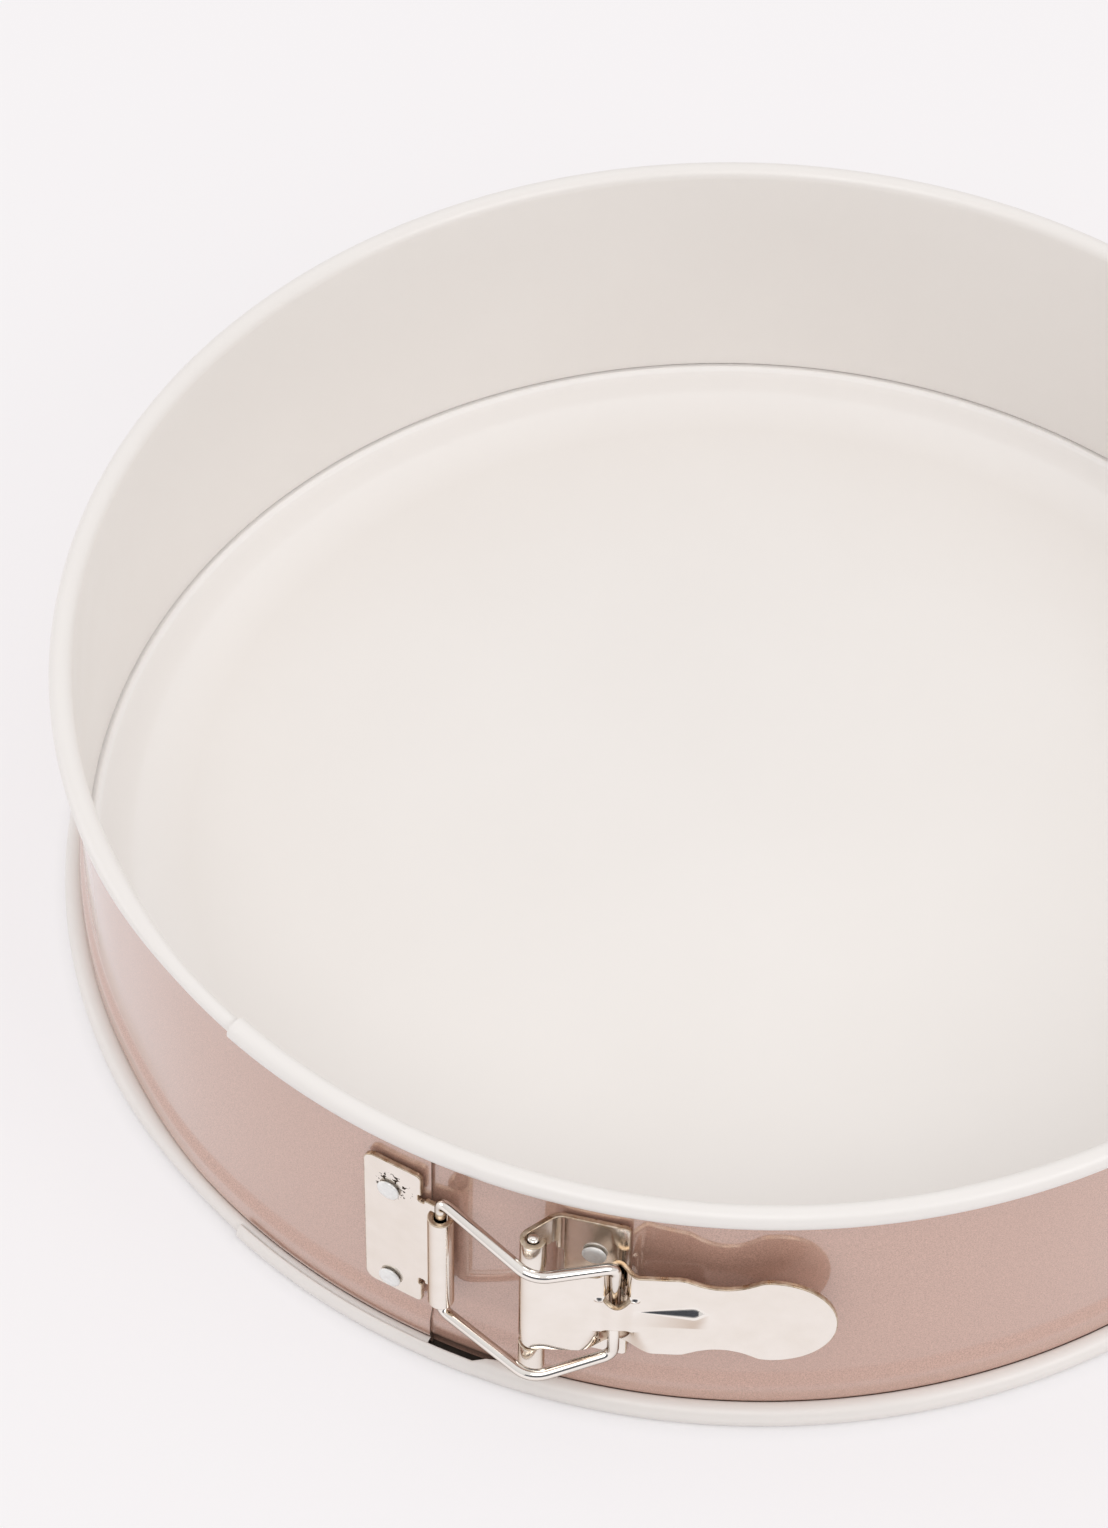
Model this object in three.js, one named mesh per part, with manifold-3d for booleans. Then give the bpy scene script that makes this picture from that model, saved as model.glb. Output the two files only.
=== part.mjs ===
// Springform cake pan of 26 cm: an open band of coated sheet steel with curled edges, a loose base
// held in the band's groove, and an over-centre wire latch that draws the band's two ends together.
// Millimetres, +Z up. The latch faces -Y. The origin is the middle of the base's flat underside.

import * as THREE from 'three';
import { mergeVertices } from 'three/addons/utils/BufferGeometryUtils.js';
import Module from 'manifold-3d';

const wasm = await Module();
wasm.setup();

// Band: the wall, its two curled edges and the groove for the base. Heights are above the table.
const WALL_RADIUS = 130;
const BAND_SHEET = 0.5;
const PAN_HEIGHT = 66;
const RIM_CURL_RADIUS = 2.2;
const FOOT_CURL_RADIUS = 2.4;
const CURL_STEP_DEG = 36;
const CURL_STEPS = 8;
const GROOVE_HEIGHT = 9.2;
const GROOVE_TOP = 13.4;
const GROOVE_FOOT = 2.6;
const GROOVE_EASE = 3;
const GROOVE_DEPTH = 1;

// Band ends: the right end runs on under the left one, and its curls sleeve over the left curls. The
// curls' lips stand open where the ends overlap.
const INNER_END_DEG = -43.7;
const OVERLAP_DEG = 19;
const LIP_OPENING_DEG = 30;
const LIP_CLOSING_DEG = 6;
const SECTION_STEP_DEG = 5;
const LAYER_GAP = 0.4;
const JOGGLE_DEG = 15;
const JOGGLE_LEAD_DEG = 5;

// Base: a flat disc with a lower flange, whose edge sits in the groove.
const BASE_SHEET = 0.9;
const FLANGE_WIDTH = 8.8;
const FLANGE_STEP_WIDTH = 1.2;
const PLATEAU_RISE = 0.8;
const EDGE_ROUND = 0.3;
const EDGE_CLEARANCE = 0.4;
const BASE_SEGMENTS = 72;

// Latch: plates, wire and pin. Heights of latch pieces are taken from its middle line.
const LATCH_HEIGHT = 36.5;
const LATCH_SHEET = 1;
const WIRE_DIAMETER = 2.2;
const PIN_DIAMETER = 2.2;
const TURNING_CLEARANCE = 0.3;
const SEAT_GAP = 0.3;
const ROLL_STEP_DEG = 24;

// Lever: a flat plate that stands off the wall, with a rolled knuckle, a lanced loop and a handle.
const HANDLE_GAP = 4;
const PIVOT_X = -35.9;
const LOOP_X = -21.2;
const LOOP_DEPTH = 0.9;
const CHANNEL_X = -20.8;
const CHANNEL_RADIUS = 2.3;
const LEVER_HALF_HEIGHT = 11.6;
const LEVER_CORNER = 3;
const LEVER_WRAP_DEG = 285;
const CHANNEL_MOUTH = 3.4;
const STRAP_HALF_HEIGHT = 4.9;
const STRAP_WAIST = 0.5;
const STRAP_BULGE = 1;
const STRAP_STEPS = 6;
const SLIT_WIDTH = 0.5;
const SLIT_HOLE_RADIUS = 0.8;
const HANDLE_END_X = 18.6;
const LOBE_RADIUS = 12;
const WAIST_X = -1.9;
const WAIST_HALF_LENGTH = 6.8;
const WAIST_DEPTH = 2.3;

// Bracket: riveted to the wall, standing off it on the left as two ears curled round the pin.
const BRACKET_OFFSET = 10;
const BRACKET_WIDTH = 13.5;
const BRACKET_RIGHT_T = 7.5;
const BRACKET_HALF_HEIGHT = 19.5;
const BRACKET_CORNER = 1;
const BEND_RADIUS = 1.6;
const EAR_WRAP_DEG = 245;
const EAR_GAP = 0.5;
const WINDOW_REACH = 1.5;
const WINDOW_HALF_HEIGHT = 9.9;
const PIN_PROUD = 0.3;
const BRACKET_RIVET_T = 1.1;
const BRACKET_RIVET_OFFSET = 10.4;

// Catch plate: riveted to the band's outer end, with a tongue rolled round the bail's leg.
const CATCH_DEG = -27.85;
const CATCH_WIDTH = 12;
const CATCH_HALF_HEIGHT = 19.3;
const CATCH_DROP = 1.4;
const CATCH_CORNER = 2.2;
const CATCH_HINGE_T = 10.95;
const CATCH_WRAP_DEG = 285;
const TONGUE_HALF_HEIGHT = 12.9;
const NOTCH_WIDTH = 1.2;
const NOTCH_DEPTH = 1.8;
const CATCH_RIVET_T = -0.6;
const CATCH_RIVET_OFFSET = 13.6;
const CATCH_RIVET_DROP = 2.1;

// Bail: one bent wire from the catch plate's roll to the lever's loop, bowed out round the pin.
const BAIL_DROP = 0.5;
const BAIL_LEG_HALF = 16.8;
const BAIL_BOW_HALF = 15.6;
const BAIL_BOW_X = -35.8;
const BAIL_BOW_STANDOFF = 5.75;
const BAIL_ARM_CLEARANCE = 0.7;
const BAIL_END_GAP = 1.2;
const BAIL_BEND = 1.6;
const WIRE_SIDES = 10;
const WIRE_STEPS = 96;

// Rivets.
const RIVET_HEAD_RADIUS = 2.4;
const RIVET_HEAD_HEIGHT = 0.9;
const RIVET_SHANK_RADIUS = 1.5;
const RIVET_SEGMENTS = 18;

// Worked-out places.
const BAND_INNER_RADIUS = WALL_RADIUS - BAND_SHEET;
const LAYER_SHIFT = BAND_SHEET + LAYER_GAP;
const OUTER_WALL_RADIUS = WALL_RADIUS + LAYER_SHIFT;
const FLANGE_UNDERSIDE = GROOVE_HEIGHT - BASE_SHEET / 4;
const BASE_UNDERSIDE = FLANGE_UNDERSIDE + PLATEAU_RISE;
const ROLL_RADIUS = PIN_DIAMETER / 2 + TURNING_CLEARANCE + LATCH_SHEET / 2;
const WIRE_ROLL_RADIUS = WIRE_DIAMETER / 2 + TURNING_CLEARANCE + LATCH_SHEET / 2;
const LEVER_MID_Y = -(WALL_RADIUS + HANDLE_GAP + LATCH_SHEET / 2);
const PIVOT = new THREE.Vector2(PIVOT_X, LEVER_MID_Y + ROLL_RADIUS);
const LOOP = new THREE.Vector2(LOOP_X, LEVER_MID_Y + LOOP_DEPTH);
const CATCH_MID_Y = -(OUTER_WALL_RADIUS + SEAT_GAP + LATCH_SHEET / 2);
const CATCH_HINGE = new THREE.Vector2(CATCH_HINGE_T, CATCH_MID_Y - WIRE_ROLL_RADIUS);
const BRACKET_MID_Y = -(WALL_RADIUS + SEAT_GAP + LATCH_SHEET / 2);
const BRACKET_DEG = THREE.MathUtils.radToDeg(Math.asin((PIVOT_X + BRACKET_OFFSET) / WALL_RADIUS));
const EAR_INNER_HALF = LEVER_HALF_HEIGHT + EAR_GAP;

const IVORY = { color: 0xefe8e1, roughness: 0.35, metalness: 0 };
const ROSE_GOLD = { color: 0xc4a394, roughness: 0.3, metalness: 0.6 };
const NICKEL = { color: 0xe4ddd3, roughness: 0.18, metalness: 1 };
const ALUMINIUM = { color: 0xc9ccce, roughness: 0.45, metalness: 1 };

const radians = THREE.MathUtils.degToRad;

// A closed three.js geometry as a solid for cutting and joining.
function solid(geometry) {
  const bare = geometry.clone();
  bare.deleteAttribute('normal');
  bare.deleteAttribute('uv');
  const welded = mergeVertices(bare, 1e-4);
  const source = welded.index.array;
  const triangles = [];
  for (let i = 0; i < source.length; i += 3) {
    const [a, b, c] = [source[i], source[i + 1], source[i + 2]];
    if (a !== b && b !== c && c !== a) triangles.push(a, b, c);
  }
  return new wasm.Manifold(new wasm.Mesh({
    numProp: 3,
    vertProperties: new Float32Array(welded.attributes.position.array),
    triVerts: new Uint32Array(triangles),
  }));
}

function geometryOf(body) {
  const mesh = body.getMesh();
  const geometry = new THREE.BufferGeometry();
  geometry.setAttribute('position', new THREE.BufferAttribute(mesh.vertProperties, 3));
  geometry.setIndex(new THREE.BufferAttribute(mesh.triVerts, 1));
  geometry.computeVertexNormals();
  return geometry;
}

function piece(name, geometry, look) {
  const mesh = new THREE.Mesh(geometry, new THREE.MeshStandardMaterial(look));
  mesh.name = name;
  return mesh;
}

function arcPoints(centre, radius, fromDeg, sweepDeg, steps) {
  return Array.from({ length: steps + 1 }, (_, i) => {
    const angle = radians(fromDeg + sweepDeg * i / steps);
    return new THREE.Vector2(centre.x + radius * Math.cos(angle), centre.y + radius * Math.sin(angle));
  });
}

const rollSteps = (sweepDeg) => Math.ceil(Math.abs(sweepDeg) / ROLL_STEP_DEG);

// The outline of bent sheet whose middle line is the path.
function sheetShape(path, thickness) {
  const sides = [[], []];
  path.forEach((point, i) => {
    const before = path[Math.max(i - 1, 0)];
    const after = path[Math.min(i + 1, path.length - 1)];
    const arriving = point.clone().sub(before).normalize();
    const leaving = after.clone().sub(point).normalize();
    const along = arriving.clone().add(leaving).normalize();
    const reach = thickness / 2 / Math.max(along.dot(arriving), along.dot(leaving));
    const across = new THREE.Vector2(-along.y, along.x).multiplyScalar(reach);
    sides[0].push(point.clone().add(across));
    sides[1].push(point.clone().sub(across));
  });
  return new THREE.Shape([...sides[0], ...sides[1].reverse()]);
}

// A section in the XY plane made into a prism that runs up Z, centred on a height.
function prismUp(shape, height, middle) {
  const geometry = new THREE.ExtrudeGeometry(shape, { depth: height, bevelEnabled: false });
  return geometry.translate(0, 0, middle - height / 2);
}

// A face outline of x and height made into a prism that runs along Y between two places.
function prismThrough(shape, front, back, middle) {
  const geometry = new THREE.ExtrudeGeometry(shape, { depth: back - front, bevelEnabled: false });
  return geometry.rotateX(Math.PI / 2).translate(0, back, middle);
}

function block(x0, x1, y0, y1, z0, z1) {
  const geometry = new THREE.BoxGeometry(x1 - x0, y1 - y0, z1 - z0);
  return geometry.translate((x0 + x1) / 2, (y0 + y1) / 2, (z0 + z1) / 2);
}

// A rod along Y, for holes in plates.
function rodAlongY(x, z, radius, front, back) {
  const rod = new THREE.CylinderGeometry(radius, radius, back - front, RIVET_SEGMENTS);
  return rod.translate(x, (front + back) / 2, z);
}

function roundedRect(x0, x1, z0, z1, radius) {
  const shape = new THREE.Shape();
  shape.moveTo(x0 + radius, z0);
  shape.lineTo(x1 - radius, z0);
  shape.absarc(x1 - radius, z0 + radius, radius, -Math.PI / 2, 0);
  shape.absarc(x1 - radius, z1 - radius, radius, 0, Math.PI / 2);
  shape.absarc(x0 + radius, z1 - radius, radius, Math.PI / 2, Math.PI);
  shape.absarc(x0 + radius, z0 + radius, radius, Math.PI, Math.PI * 1.5);
  return shape;
}

// A curled edge from the wall to its lip, in equal steps and a last one that fits the sweep.
function curlPoints(centre, radius, way, sweep) {
  const turns = [...Array.from({ length: CURL_STEPS }, (_, i) => i * CURL_STEP_DEG), sweep];
  return turns.map((turn) => {
    const angle = radians(180 + way * turn);
    return new THREE.Vector2(centre.x + radius * Math.cos(angle), centre.y + radius * Math.sin(angle));
  });
}

// One upright section of the band as a loop of radius and height. Shift moves the wall outward and
// makes both curls smaller about the same centres, and opening draws their lips back from the wall.
function bandSection(shift, opening) {
  const rimCentre = new THREE.Vector2(BAND_INNER_RADIUS + RIM_CURL_RADIUS, PAN_HEIGHT - RIM_CURL_RADIUS);
  const footRise = FOOT_CURL_RADIUS * Math.cos(radians(CURL_STEP_DEG / 2));
  const footCentre = new THREE.Vector2(BAND_INNER_RADIUS + FOOT_CURL_RADIUS, footRise);
  const sweep = CURL_STEP_DEG * CURL_STEPS - opening;
  const face = (depth) => {
    const wall = (part, height) => (
      new THREE.Vector2(BAND_INNER_RADIUS + shift + depth + GROOVE_DEPTH * part, height));
    return [
      ...curlPoints(rimCentre, RIM_CURL_RADIUS - shift - depth, -1, sweep).reverse(),
      ...[0, 0.5, 1].map((part) => wall(part, GROOVE_TOP - GROOVE_EASE * part)),
      ...[1, 0.5, 0].map((part) => wall(part, GROOVE_FOOT + GROOVE_EASE * part)),
      ...curlPoints(footCentre, FOOT_CURL_RADIUS - shift - depth, 1, sweep),
    ];
  };
  return [...face(0), ...face(BAND_SHEET).reverse()];
}

// The band's section swept round the pan from its inner end to its outer end, 360 degrees and more.
function bandLoft() {
  const sweep = 360 + OVERLAP_DEG;
  const steps = Math.round(sweep / SECTION_STEP_DEG);
  const positions = [];
  const triangles = [];
  let first = null;
  let count = 0;
  for (let i = 0; i <= steps; i += 1) {
    const turned = sweep * i / steps;
    const leadEnd = 360 - JOGGLE_LEAD_DEG;
    const joggle = THREE.MathUtils.smoothstep(turned, leadEnd - JOGGLE_DEG, leadEnd);
    const shut = THREE.MathUtils.smoothstep(turned, OVERLAP_DEG, OVERLAP_DEG + LIP_CLOSING_DEG);
    const section = bandSection(LAYER_SHIFT * joggle, LIP_OPENING_DEG * Math.max(joggle, 1 - shut));
    const angle = radians(INNER_END_DEG + turned);
    section.forEach(({ x, y }) => positions.push(x * Math.sin(angle), -x * Math.cos(angle), y));
    first ??= section;
    count = section.length;
    if (i === 0) continue;
    const here = i * count;
    const back = here - count;
    for (let j = 0; j < count; j += 1) {
      const next = (j + 1) % count;
      triangles.push(back + j, back + next, here + j, back + next, here + next, here + j);
    }
  }
  const cap = THREE.ShapeUtils.triangulateShape(first, []);
  const last = steps * count;
  cap.forEach(([a, b, c]) => triangles.push(a, c, b, last + a, last + b, last + c));
  const geometry = new THREE.BufferGeometry();
  geometry.setAttribute('position', new THREE.Float32BufferAttribute(positions, 3));
  geometry.setIndex(triangles);
  return facesOut(geometry);
}

// Turns every triangle over where the closed surface has its faces inward.
function facesOut(geometry) {
  const place = geometry.attributes.position;
  const index = geometry.index.array;
  const [a, b, c] = [new THREE.Vector3(), new THREE.Vector3(), new THREE.Vector3()];
  let volume = 0;
  for (let i = 0; i < index.length; i += 3) {
    a.fromBufferAttribute(place, index[i]);
    b.fromBufferAttribute(place, index[i + 1]);
    c.fromBufferAttribute(place, index[i + 2]);
    volume += a.dot(b.cross(c));
  }
  if (volume < 0) {
    for (let i = 0; i < index.length; i += 3) {
      [index[i + 1], index[i + 2]] = [index[i + 2], index[i + 1]];
    }
  }
  return geometry;
}

// The four rivet places: angle round the pan of the plate, place along the plate, height and wall.
const RIVETS = [
  { name: 'catch_rivet_upper', deg: CATCH_DEG, t: CATCH_RIVET_T, side: 1 },
  { name: 'catch_rivet_lower', deg: CATCH_DEG, t: CATCH_RIVET_T, side: -1 },
  { name: 'bracket_rivet_upper', deg: BRACKET_DEG, t: BRACKET_RIVET_T, side: 1 },
  { name: 'bracket_rivet_lower', deg: BRACKET_DEG, t: BRACKET_RIVET_T, side: -1 },
].map((rivet) => {
  const onCatch = rivet.deg === CATCH_DEG;
  const middle = onCatch ? LATCH_HEIGHT - CATCH_DROP - CATCH_RIVET_DROP : LATCH_HEIGHT;
  const offset = onCatch ? CATCH_RIVET_OFFSET : BRACKET_RIVET_OFFSET;
  const wall = onCatch ? OUTER_WALL_RADIUS : WALL_RADIUS;
  return { ...rivet, onCatch, wall, height: middle + rivet.side * offset };
});

// A rivet hole through the sheet that lies just inside a wall radius, in the pan's own frame.
function bandHole({ deg, t, wall, height }) {
  const front = -(wall + LAYER_GAP / 2);
  const back = -(wall - BAND_SHEET - LAYER_GAP / 2);
  const hole = rodAlongY(t, height, RIVET_SHANK_RADIUS + SEAT_GAP, front, back);
  return solid(hole.rotateZ(radians(deg)));
}

function makeBand() {
  const body = RIVETS.reduce((cut, rivet) => cut.subtract(bandHole(rivet)), solid(bandLoft()));
  return piece('band', geometryOf(body), ROSE_GOLD);
}

function makeBase() {
  const edge = BAND_INNER_RADIUS + GROOVE_DEPTH - EDGE_CLEARANCE;
  const step = edge - FLANGE_WIDTH;
  const plateau = step - FLANGE_STEP_WIDTH;
  const low = FLANGE_UNDERSIDE;
  const profile = [
    [0, low + PLATEAU_RISE],
    [plateau, low + PLATEAU_RISE],
    [step, low],
    [edge - EDGE_ROUND, low],
    [edge, low + EDGE_ROUND],
    [edge, low + BASE_SHEET - EDGE_ROUND],
    [edge - EDGE_ROUND, low + BASE_SHEET],
    [step, low + BASE_SHEET],
    [plateau, low + BASE_SHEET + PLATEAU_RISE],
    [0, low + BASE_SHEET + PLATEAU_RISE],
  ].map(([radius, height]) => new THREE.Vector2(radius, height));
  const disc = new THREE.LatheGeometry(profile, BASE_SEGMENTS).rotateX(Math.PI / 2);
  return piece('base', geometryOf(solid(disc)), IVORY);
}

function makeCatchPlate() {
  const middle = LATCH_HEIGHT - CATCH_DROP;
  const half = CATCH_WIDTH / 2;
  const roll = arcPoints(CATCH_HINGE, WIRE_ROLL_RADIUS, 90, -CATCH_WRAP_DEG, rollSteps(CATCH_WRAP_DEG));
  const path = [new THREE.Vector2(-half, CATCH_MID_Y), ...roll];
  const bent = solid(prismUp(sheetShape(path, LATCH_SHEET), 2 * CATCH_HALF_HEIGHT, middle));
  const front = CATCH_HINGE.y - 2 * WIRE_ROLL_RADIUS;
  const back = CATCH_MID_Y + LATCH_SHEET;
  const plateFace = roundedRect(-half, half, -CATCH_HALF_HEIGHT, CATCH_HALF_HEIGHT, CATCH_CORNER);
  const plate = solid(prismThrough(plateFace, front, back, middle));
  const rollEnd = CATCH_HINGE_T + 2 * WIRE_ROLL_RADIUS;
  const tongueTop = middle + TONGUE_HALF_HEIGHT;
  const tongueFoot = middle - TONGUE_HALF_HEIGHT;
  const tongue = solid(block(0, rollEnd, front, back, tongueFoot, tongueTop));
  const notches = [tongueFoot, tongueTop].map((height) => {
    const [low, high] = [height - NOTCH_DEPTH / 2, height + NOTCH_DEPTH / 2];
    return solid(block(half - NOTCH_WIDTH / 2, half + NOTCH_WIDTH / 2, front, back, low, high));
  });
  const holes = RIVETS.filter(({ onCatch }) => onCatch).map(({ t, height }) => (
    solid(rodAlongY(t, height, RIVET_SHANK_RADIUS + SEAT_GAP, CATCH_MID_Y - LATCH_SHEET, back))));
  const outline = plate.add(tongue);
  const body = [...notches, ...holes].reduce((cut, tool) => cut.subtract(tool), bent.intersect(outline));
  return piece('catch_plate', geometryOf(body), NICKEL);
}

function makeBracket() {
  const pivot = PIVOT.clone().rotateAround(new THREE.Vector2(), -radians(BRACKET_DEG));
  const bend = new THREE.Vector2(BRACKET_RIGHT_T - BRACKET_WIDTH, BRACKET_MID_Y);
  const toPivot = pivot.clone().sub(bend);
  const distance = toPivot.length();
  const legAngle = toPivot.angle() - Math.asin(ROLL_RADIUS / distance);
  const leg = new THREE.Vector2(Math.cos(legAngle), Math.sin(legAngle));
  const earStart = THREE.MathUtils.radToDeg(legAngle) - 90;
  const ear = arcPoints(pivot, ROLL_RADIUS, earStart, EAR_WRAP_DEG, rollSteps(EAR_WRAP_DEG));
  const before = bend.clone().add(new THREE.Vector2(BEND_RADIUS, 0));
  const after = bend.clone().addScaledVector(leg, BEND_RADIUS);
  const corner = new THREE.QuadraticBezierCurve(before, bend, after).getPoints(4);
  const path = [new THREE.Vector2(BRACKET_RIGHT_T, BRACKET_MID_Y), ...corner, ...ear];
  const full = 2 * BRACKET_HALF_HEIGHT;
  const bent = solid(prismUp(sheetShape(path, LATCH_SHEET), full, LATCH_HEIGHT));
  const left = pivot.x - 2 * ROLL_RADIUS;
  const front = pivot.y - 2 * ROLL_RADIUS;
  const back = BRACKET_MID_Y + LATCH_SHEET;
  const face = roundedRect(left, BRACKET_RIGHT_T, -BRACKET_HALF_HEIGHT, BRACKET_HALF_HEIGHT, BRACKET_CORNER);
  const outline = solid(prismThrough(face, front, back, LATCH_HEIGHT));
  const ears = solid(block(left, bend.x, front, back, LATCH_HEIGHT - full / 2, LATCH_HEIGHT + full / 2));
  const opening = (right, half) => solid(block(left, right, front, back, LATCH_HEIGHT - half, LATCH_HEIGHT + half));
  const window = opening(bend.x, EAR_INNER_HALF).add(opening(bend.x + WINDOW_REACH, WINDOW_HALF_HEIGHT));
  const holes = RIVETS.filter(({ onCatch }) => !onCatch).map(({ t, height }) => (
    solid(rodAlongY(t, height, RIVET_SHANK_RADIUS + SEAT_GAP, BRACKET_MID_Y - LATCH_SHEET, back))));
  const kept = bent.intersect(outline.add(ears)).subtract(window);
  const body = holes.reduce((cut, hole) => cut.subtract(hole), kept);
  return piece('bracket', geometryOf(body), NICKEL);
}

// The lever's face outline: square left end, peanut waist and a round end.
function leverFace() {
  const left = PIVOT_X - 2 * ROLL_RADIUS;
  const half = LEVER_HALF_HEIGHT;
  const lobeX = HANDLE_END_X - LOBE_RADIUS;
  const waistStart = WAIST_X - WAIST_HALF_LENGTH;
  const waistEnd = WAIST_X + WAIST_HALF_LENGTH;
  const lobeAngle = Math.acos((waistEnd - lobeX) / LOBE_RADIUS);
  const waistPull = half - 2 * WAIST_DEPTH;
  const shape = new THREE.Shape();
  const knuckleLeft = PIVOT_X - ROLL_RADIUS - LATCH_SHEET / 2;
  shape.moveTo(left, -half + LEVER_CORNER);
  shape.lineTo(knuckleLeft, -half + LEVER_CORNER);
  shape.quadraticCurveTo(knuckleLeft, -half, knuckleLeft + LEVER_CORNER, -half);
  shape.lineTo(waistStart, -half);
  shape.quadraticCurveTo(WAIST_X, -waistPull, waistEnd, -LOBE_RADIUS * Math.sin(lobeAngle));
  shape.absarc(lobeX, 0, LOBE_RADIUS, -lobeAngle, lobeAngle);
  shape.quadraticCurveTo(WAIST_X, waistPull, waistStart, half);
  shape.lineTo(knuckleLeft + LEVER_CORNER, half);
  shape.quadraticCurveTo(knuckleLeft, half, knuckleLeft, half - LEVER_CORNER);
  shape.lineTo(left, half - LEVER_CORNER);
  return shape;
}

// The strap over the channel, bowed out round the wire and narrower in its middle.
function makeStrap(left, right) {
  const half = STRAP_HALF_HEIGHT;
  const pull = half - 2 * STRAP_WAIST;
  const face = new THREE.Shape();
  face.moveTo(left - LATCH_SHEET, -half);
  face.quadraticCurveTo(CHANNEL_X, -pull, right + LATCH_SHEET, -half);
  face.lineTo(right + LATCH_SHEET, half);
  face.quadraticCurveTo(CHANNEL_X, pull, left - LATCH_SHEET, half);
  const front = LEVER_MID_Y - STRAP_BULGE - LATCH_SHEET;
  const outline = solid(prismThrough(face, front, LEVER_MID_Y + LATCH_SHEET, LATCH_HEIGHT));
  const bow = new THREE.QuadraticBezierCurve(
    new THREE.Vector2(left, LEVER_MID_Y),
    new THREE.Vector2(CHANNEL_X, LEVER_MID_Y - 2 * STRAP_BULGE),
    new THREE.Vector2(right, LEVER_MID_Y),
  );
  const path = [
    new THREE.Vector2(left - LATCH_SHEET, LEVER_MID_Y),
    ...bow.getPoints(STRAP_STEPS),
    new THREE.Vector2(right + LATCH_SHEET, LEVER_MID_Y),
  ];
  return solid(prismUp(sheetShape(path, LATCH_SHEET), 2 * half, LATCH_HEIGHT)).intersect(outline);
}

function makeLever() {
  const knuckle = arcPoints(PIVOT, ROLL_RADIUS, -90, -LEVER_WRAP_DEG, rollSteps(LEVER_WRAP_DEG)).reverse();
  const [left, right] = [CHANNEL_X - CHANNEL_MOUTH, CHANNEL_X + CHANNEL_MOUTH];
  const path = [
    ...knuckle,
    new THREE.Vector2(left, LEVER_MID_Y),
    ...arcPoints(new THREE.Vector2(CHANNEL_X, LOOP.y), CHANNEL_RADIUS, 180, -180, rollSteps(180)),
    new THREE.Vector2(right, LEVER_MID_Y),
    new THREE.Vector2(HANDLE_END_X + LATCH_SHEET, LEVER_MID_Y),
  ];
  const bent = solid(prismUp(sheetShape(path, LATCH_SHEET), 3 * LOBE_RADIUS, LATCH_HEIGHT));
  const front = LEVER_MID_Y - LATCH_SHEET / 2;
  const rear = LEVER_MID_Y + LATCH_SHEET / 2;
  const back = PIVOT.y + 2 * ROLL_RADIUS;
  const outline = solid(prismThrough(leverFace(), front - LATCH_SHEET, back, LATCH_HEIGHT));
  const slitHalf = STRAP_HALF_HEIGHT + SLIT_WIDTH;
  const cut = block(left, right, front - LATCH_SHEET, back, LATCH_HEIGHT - slitHalf, LATCH_HEIGHT + slitHalf);
  const holes = [left, right].flatMap((x) => [-1, 1].map((side) => {
    const height = LATCH_HEIGHT + side * (STRAP_HALF_HEIGHT + SLIT_WIDTH / 2);
    return solid(rodAlongY(x, height, SLIT_HOLE_RADIUS, front - LATCH_SHEET, rear + LATCH_SHEET));
  }));
  const joined = bent.intersect(outline).subtract(solid(cut)).add(makeStrap(left, right));
  const body = holes.reduce((rest, hole) => rest.subtract(hole), joined);
  return piece('lever', geometryOf(body), NICKEL);
}

// A run of straight wire whose corners are bends.
function wirePath(corners, bend) {
  const path = new THREE.CurvePath();
  let start = corners[0];
  corners.slice(1).forEach((corner, i) => {
    const next = corners[i + 2];
    if (!next) {
      path.add(new THREE.LineCurve3(start, corner));
      return;
    }
    const arriving = start.clone().sub(corner).normalize();
    const leaving = next.clone().sub(corner).normalize();
    const bendStart = corner.clone().addScaledVector(arriving, bend);
    const bendEnd = corner.clone().addScaledVector(leaving, bend);
    path.add(new THREE.LineCurve3(start, bendStart));
    path.add(new THREE.QuadraticBezierCurve3(bendStart, corner, bendEnd));
    start = bendEnd;
  });
  return path;
}

function makeBail() {
  const hinge = CATCH_HINGE.clone().rotateAround(new THREE.Vector2(), radians(CATCH_DEG));
  const armHalf = LEVER_HALF_HEIGHT + BAIL_ARM_CLEARANCE + WIRE_DIAMETER / 2;
  const bowY = PIVOT.y - BAIL_BOW_STANDOFF;
  const middle = LATCH_HEIGHT - BAIL_DROP;
  const at = (x, y, offset) => new THREE.Vector3(x, y, middle + offset);
  const upper = [
    at(LOOP.x, LOOP.y, BAIL_END_GAP),
    at(LOOP.x, LOOP.y, armHalf),
    at(BAIL_BOW_X, bowY, BAIL_BOW_HALF),
    at(hinge.x, hinge.y, BAIL_LEG_HALF),
  ];
  const lower = upper.map(({ x, y, z }) => new THREE.Vector3(x, y, 2 * middle - z)).reverse();
  const section = new THREE.Shape();
  section.absarc(0, 0, WIRE_DIAMETER / 2, 0, 2 * Math.PI);
  const ring = new THREE.Shape(section.getSpacedPoints(WIRE_SIDES).slice(0, WIRE_SIDES));
  const wire = new THREE.ExtrudeGeometry(ring, {
    steps: WIRE_STEPS,
    bevelEnabled: false,
    extrudePath: wirePath([...upper, ...lower], BAIL_BEND),
  });
  return piece('bail', geometryOf(solid(wire)), NICKEL);
}

function makePin() {
  const length = 2 * (BRACKET_HALF_HEIGHT + PIN_PROUD);
  const radius = PIN_DIAMETER / 2;
  const dome = radius / 2;
  const profile = [
    [0, -length / 2],
    [radius - dome, -length / 2],
    [radius, dome - length / 2],
    [radius, length / 2 - dome],
    [radius - dome, length / 2],
    [0, length / 2],
  ].map(([r, y]) => new THREE.Vector2(r, y));
  const pin = new THREE.LatheGeometry(profile, RIVET_SEGMENTS).rotateX(Math.PI / 2);
  return piece('pivot_pin', geometryOf(solid(pin.translate(PIVOT.x, PIVOT.y, LATCH_HEIGHT))), NICKEL);
}

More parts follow.
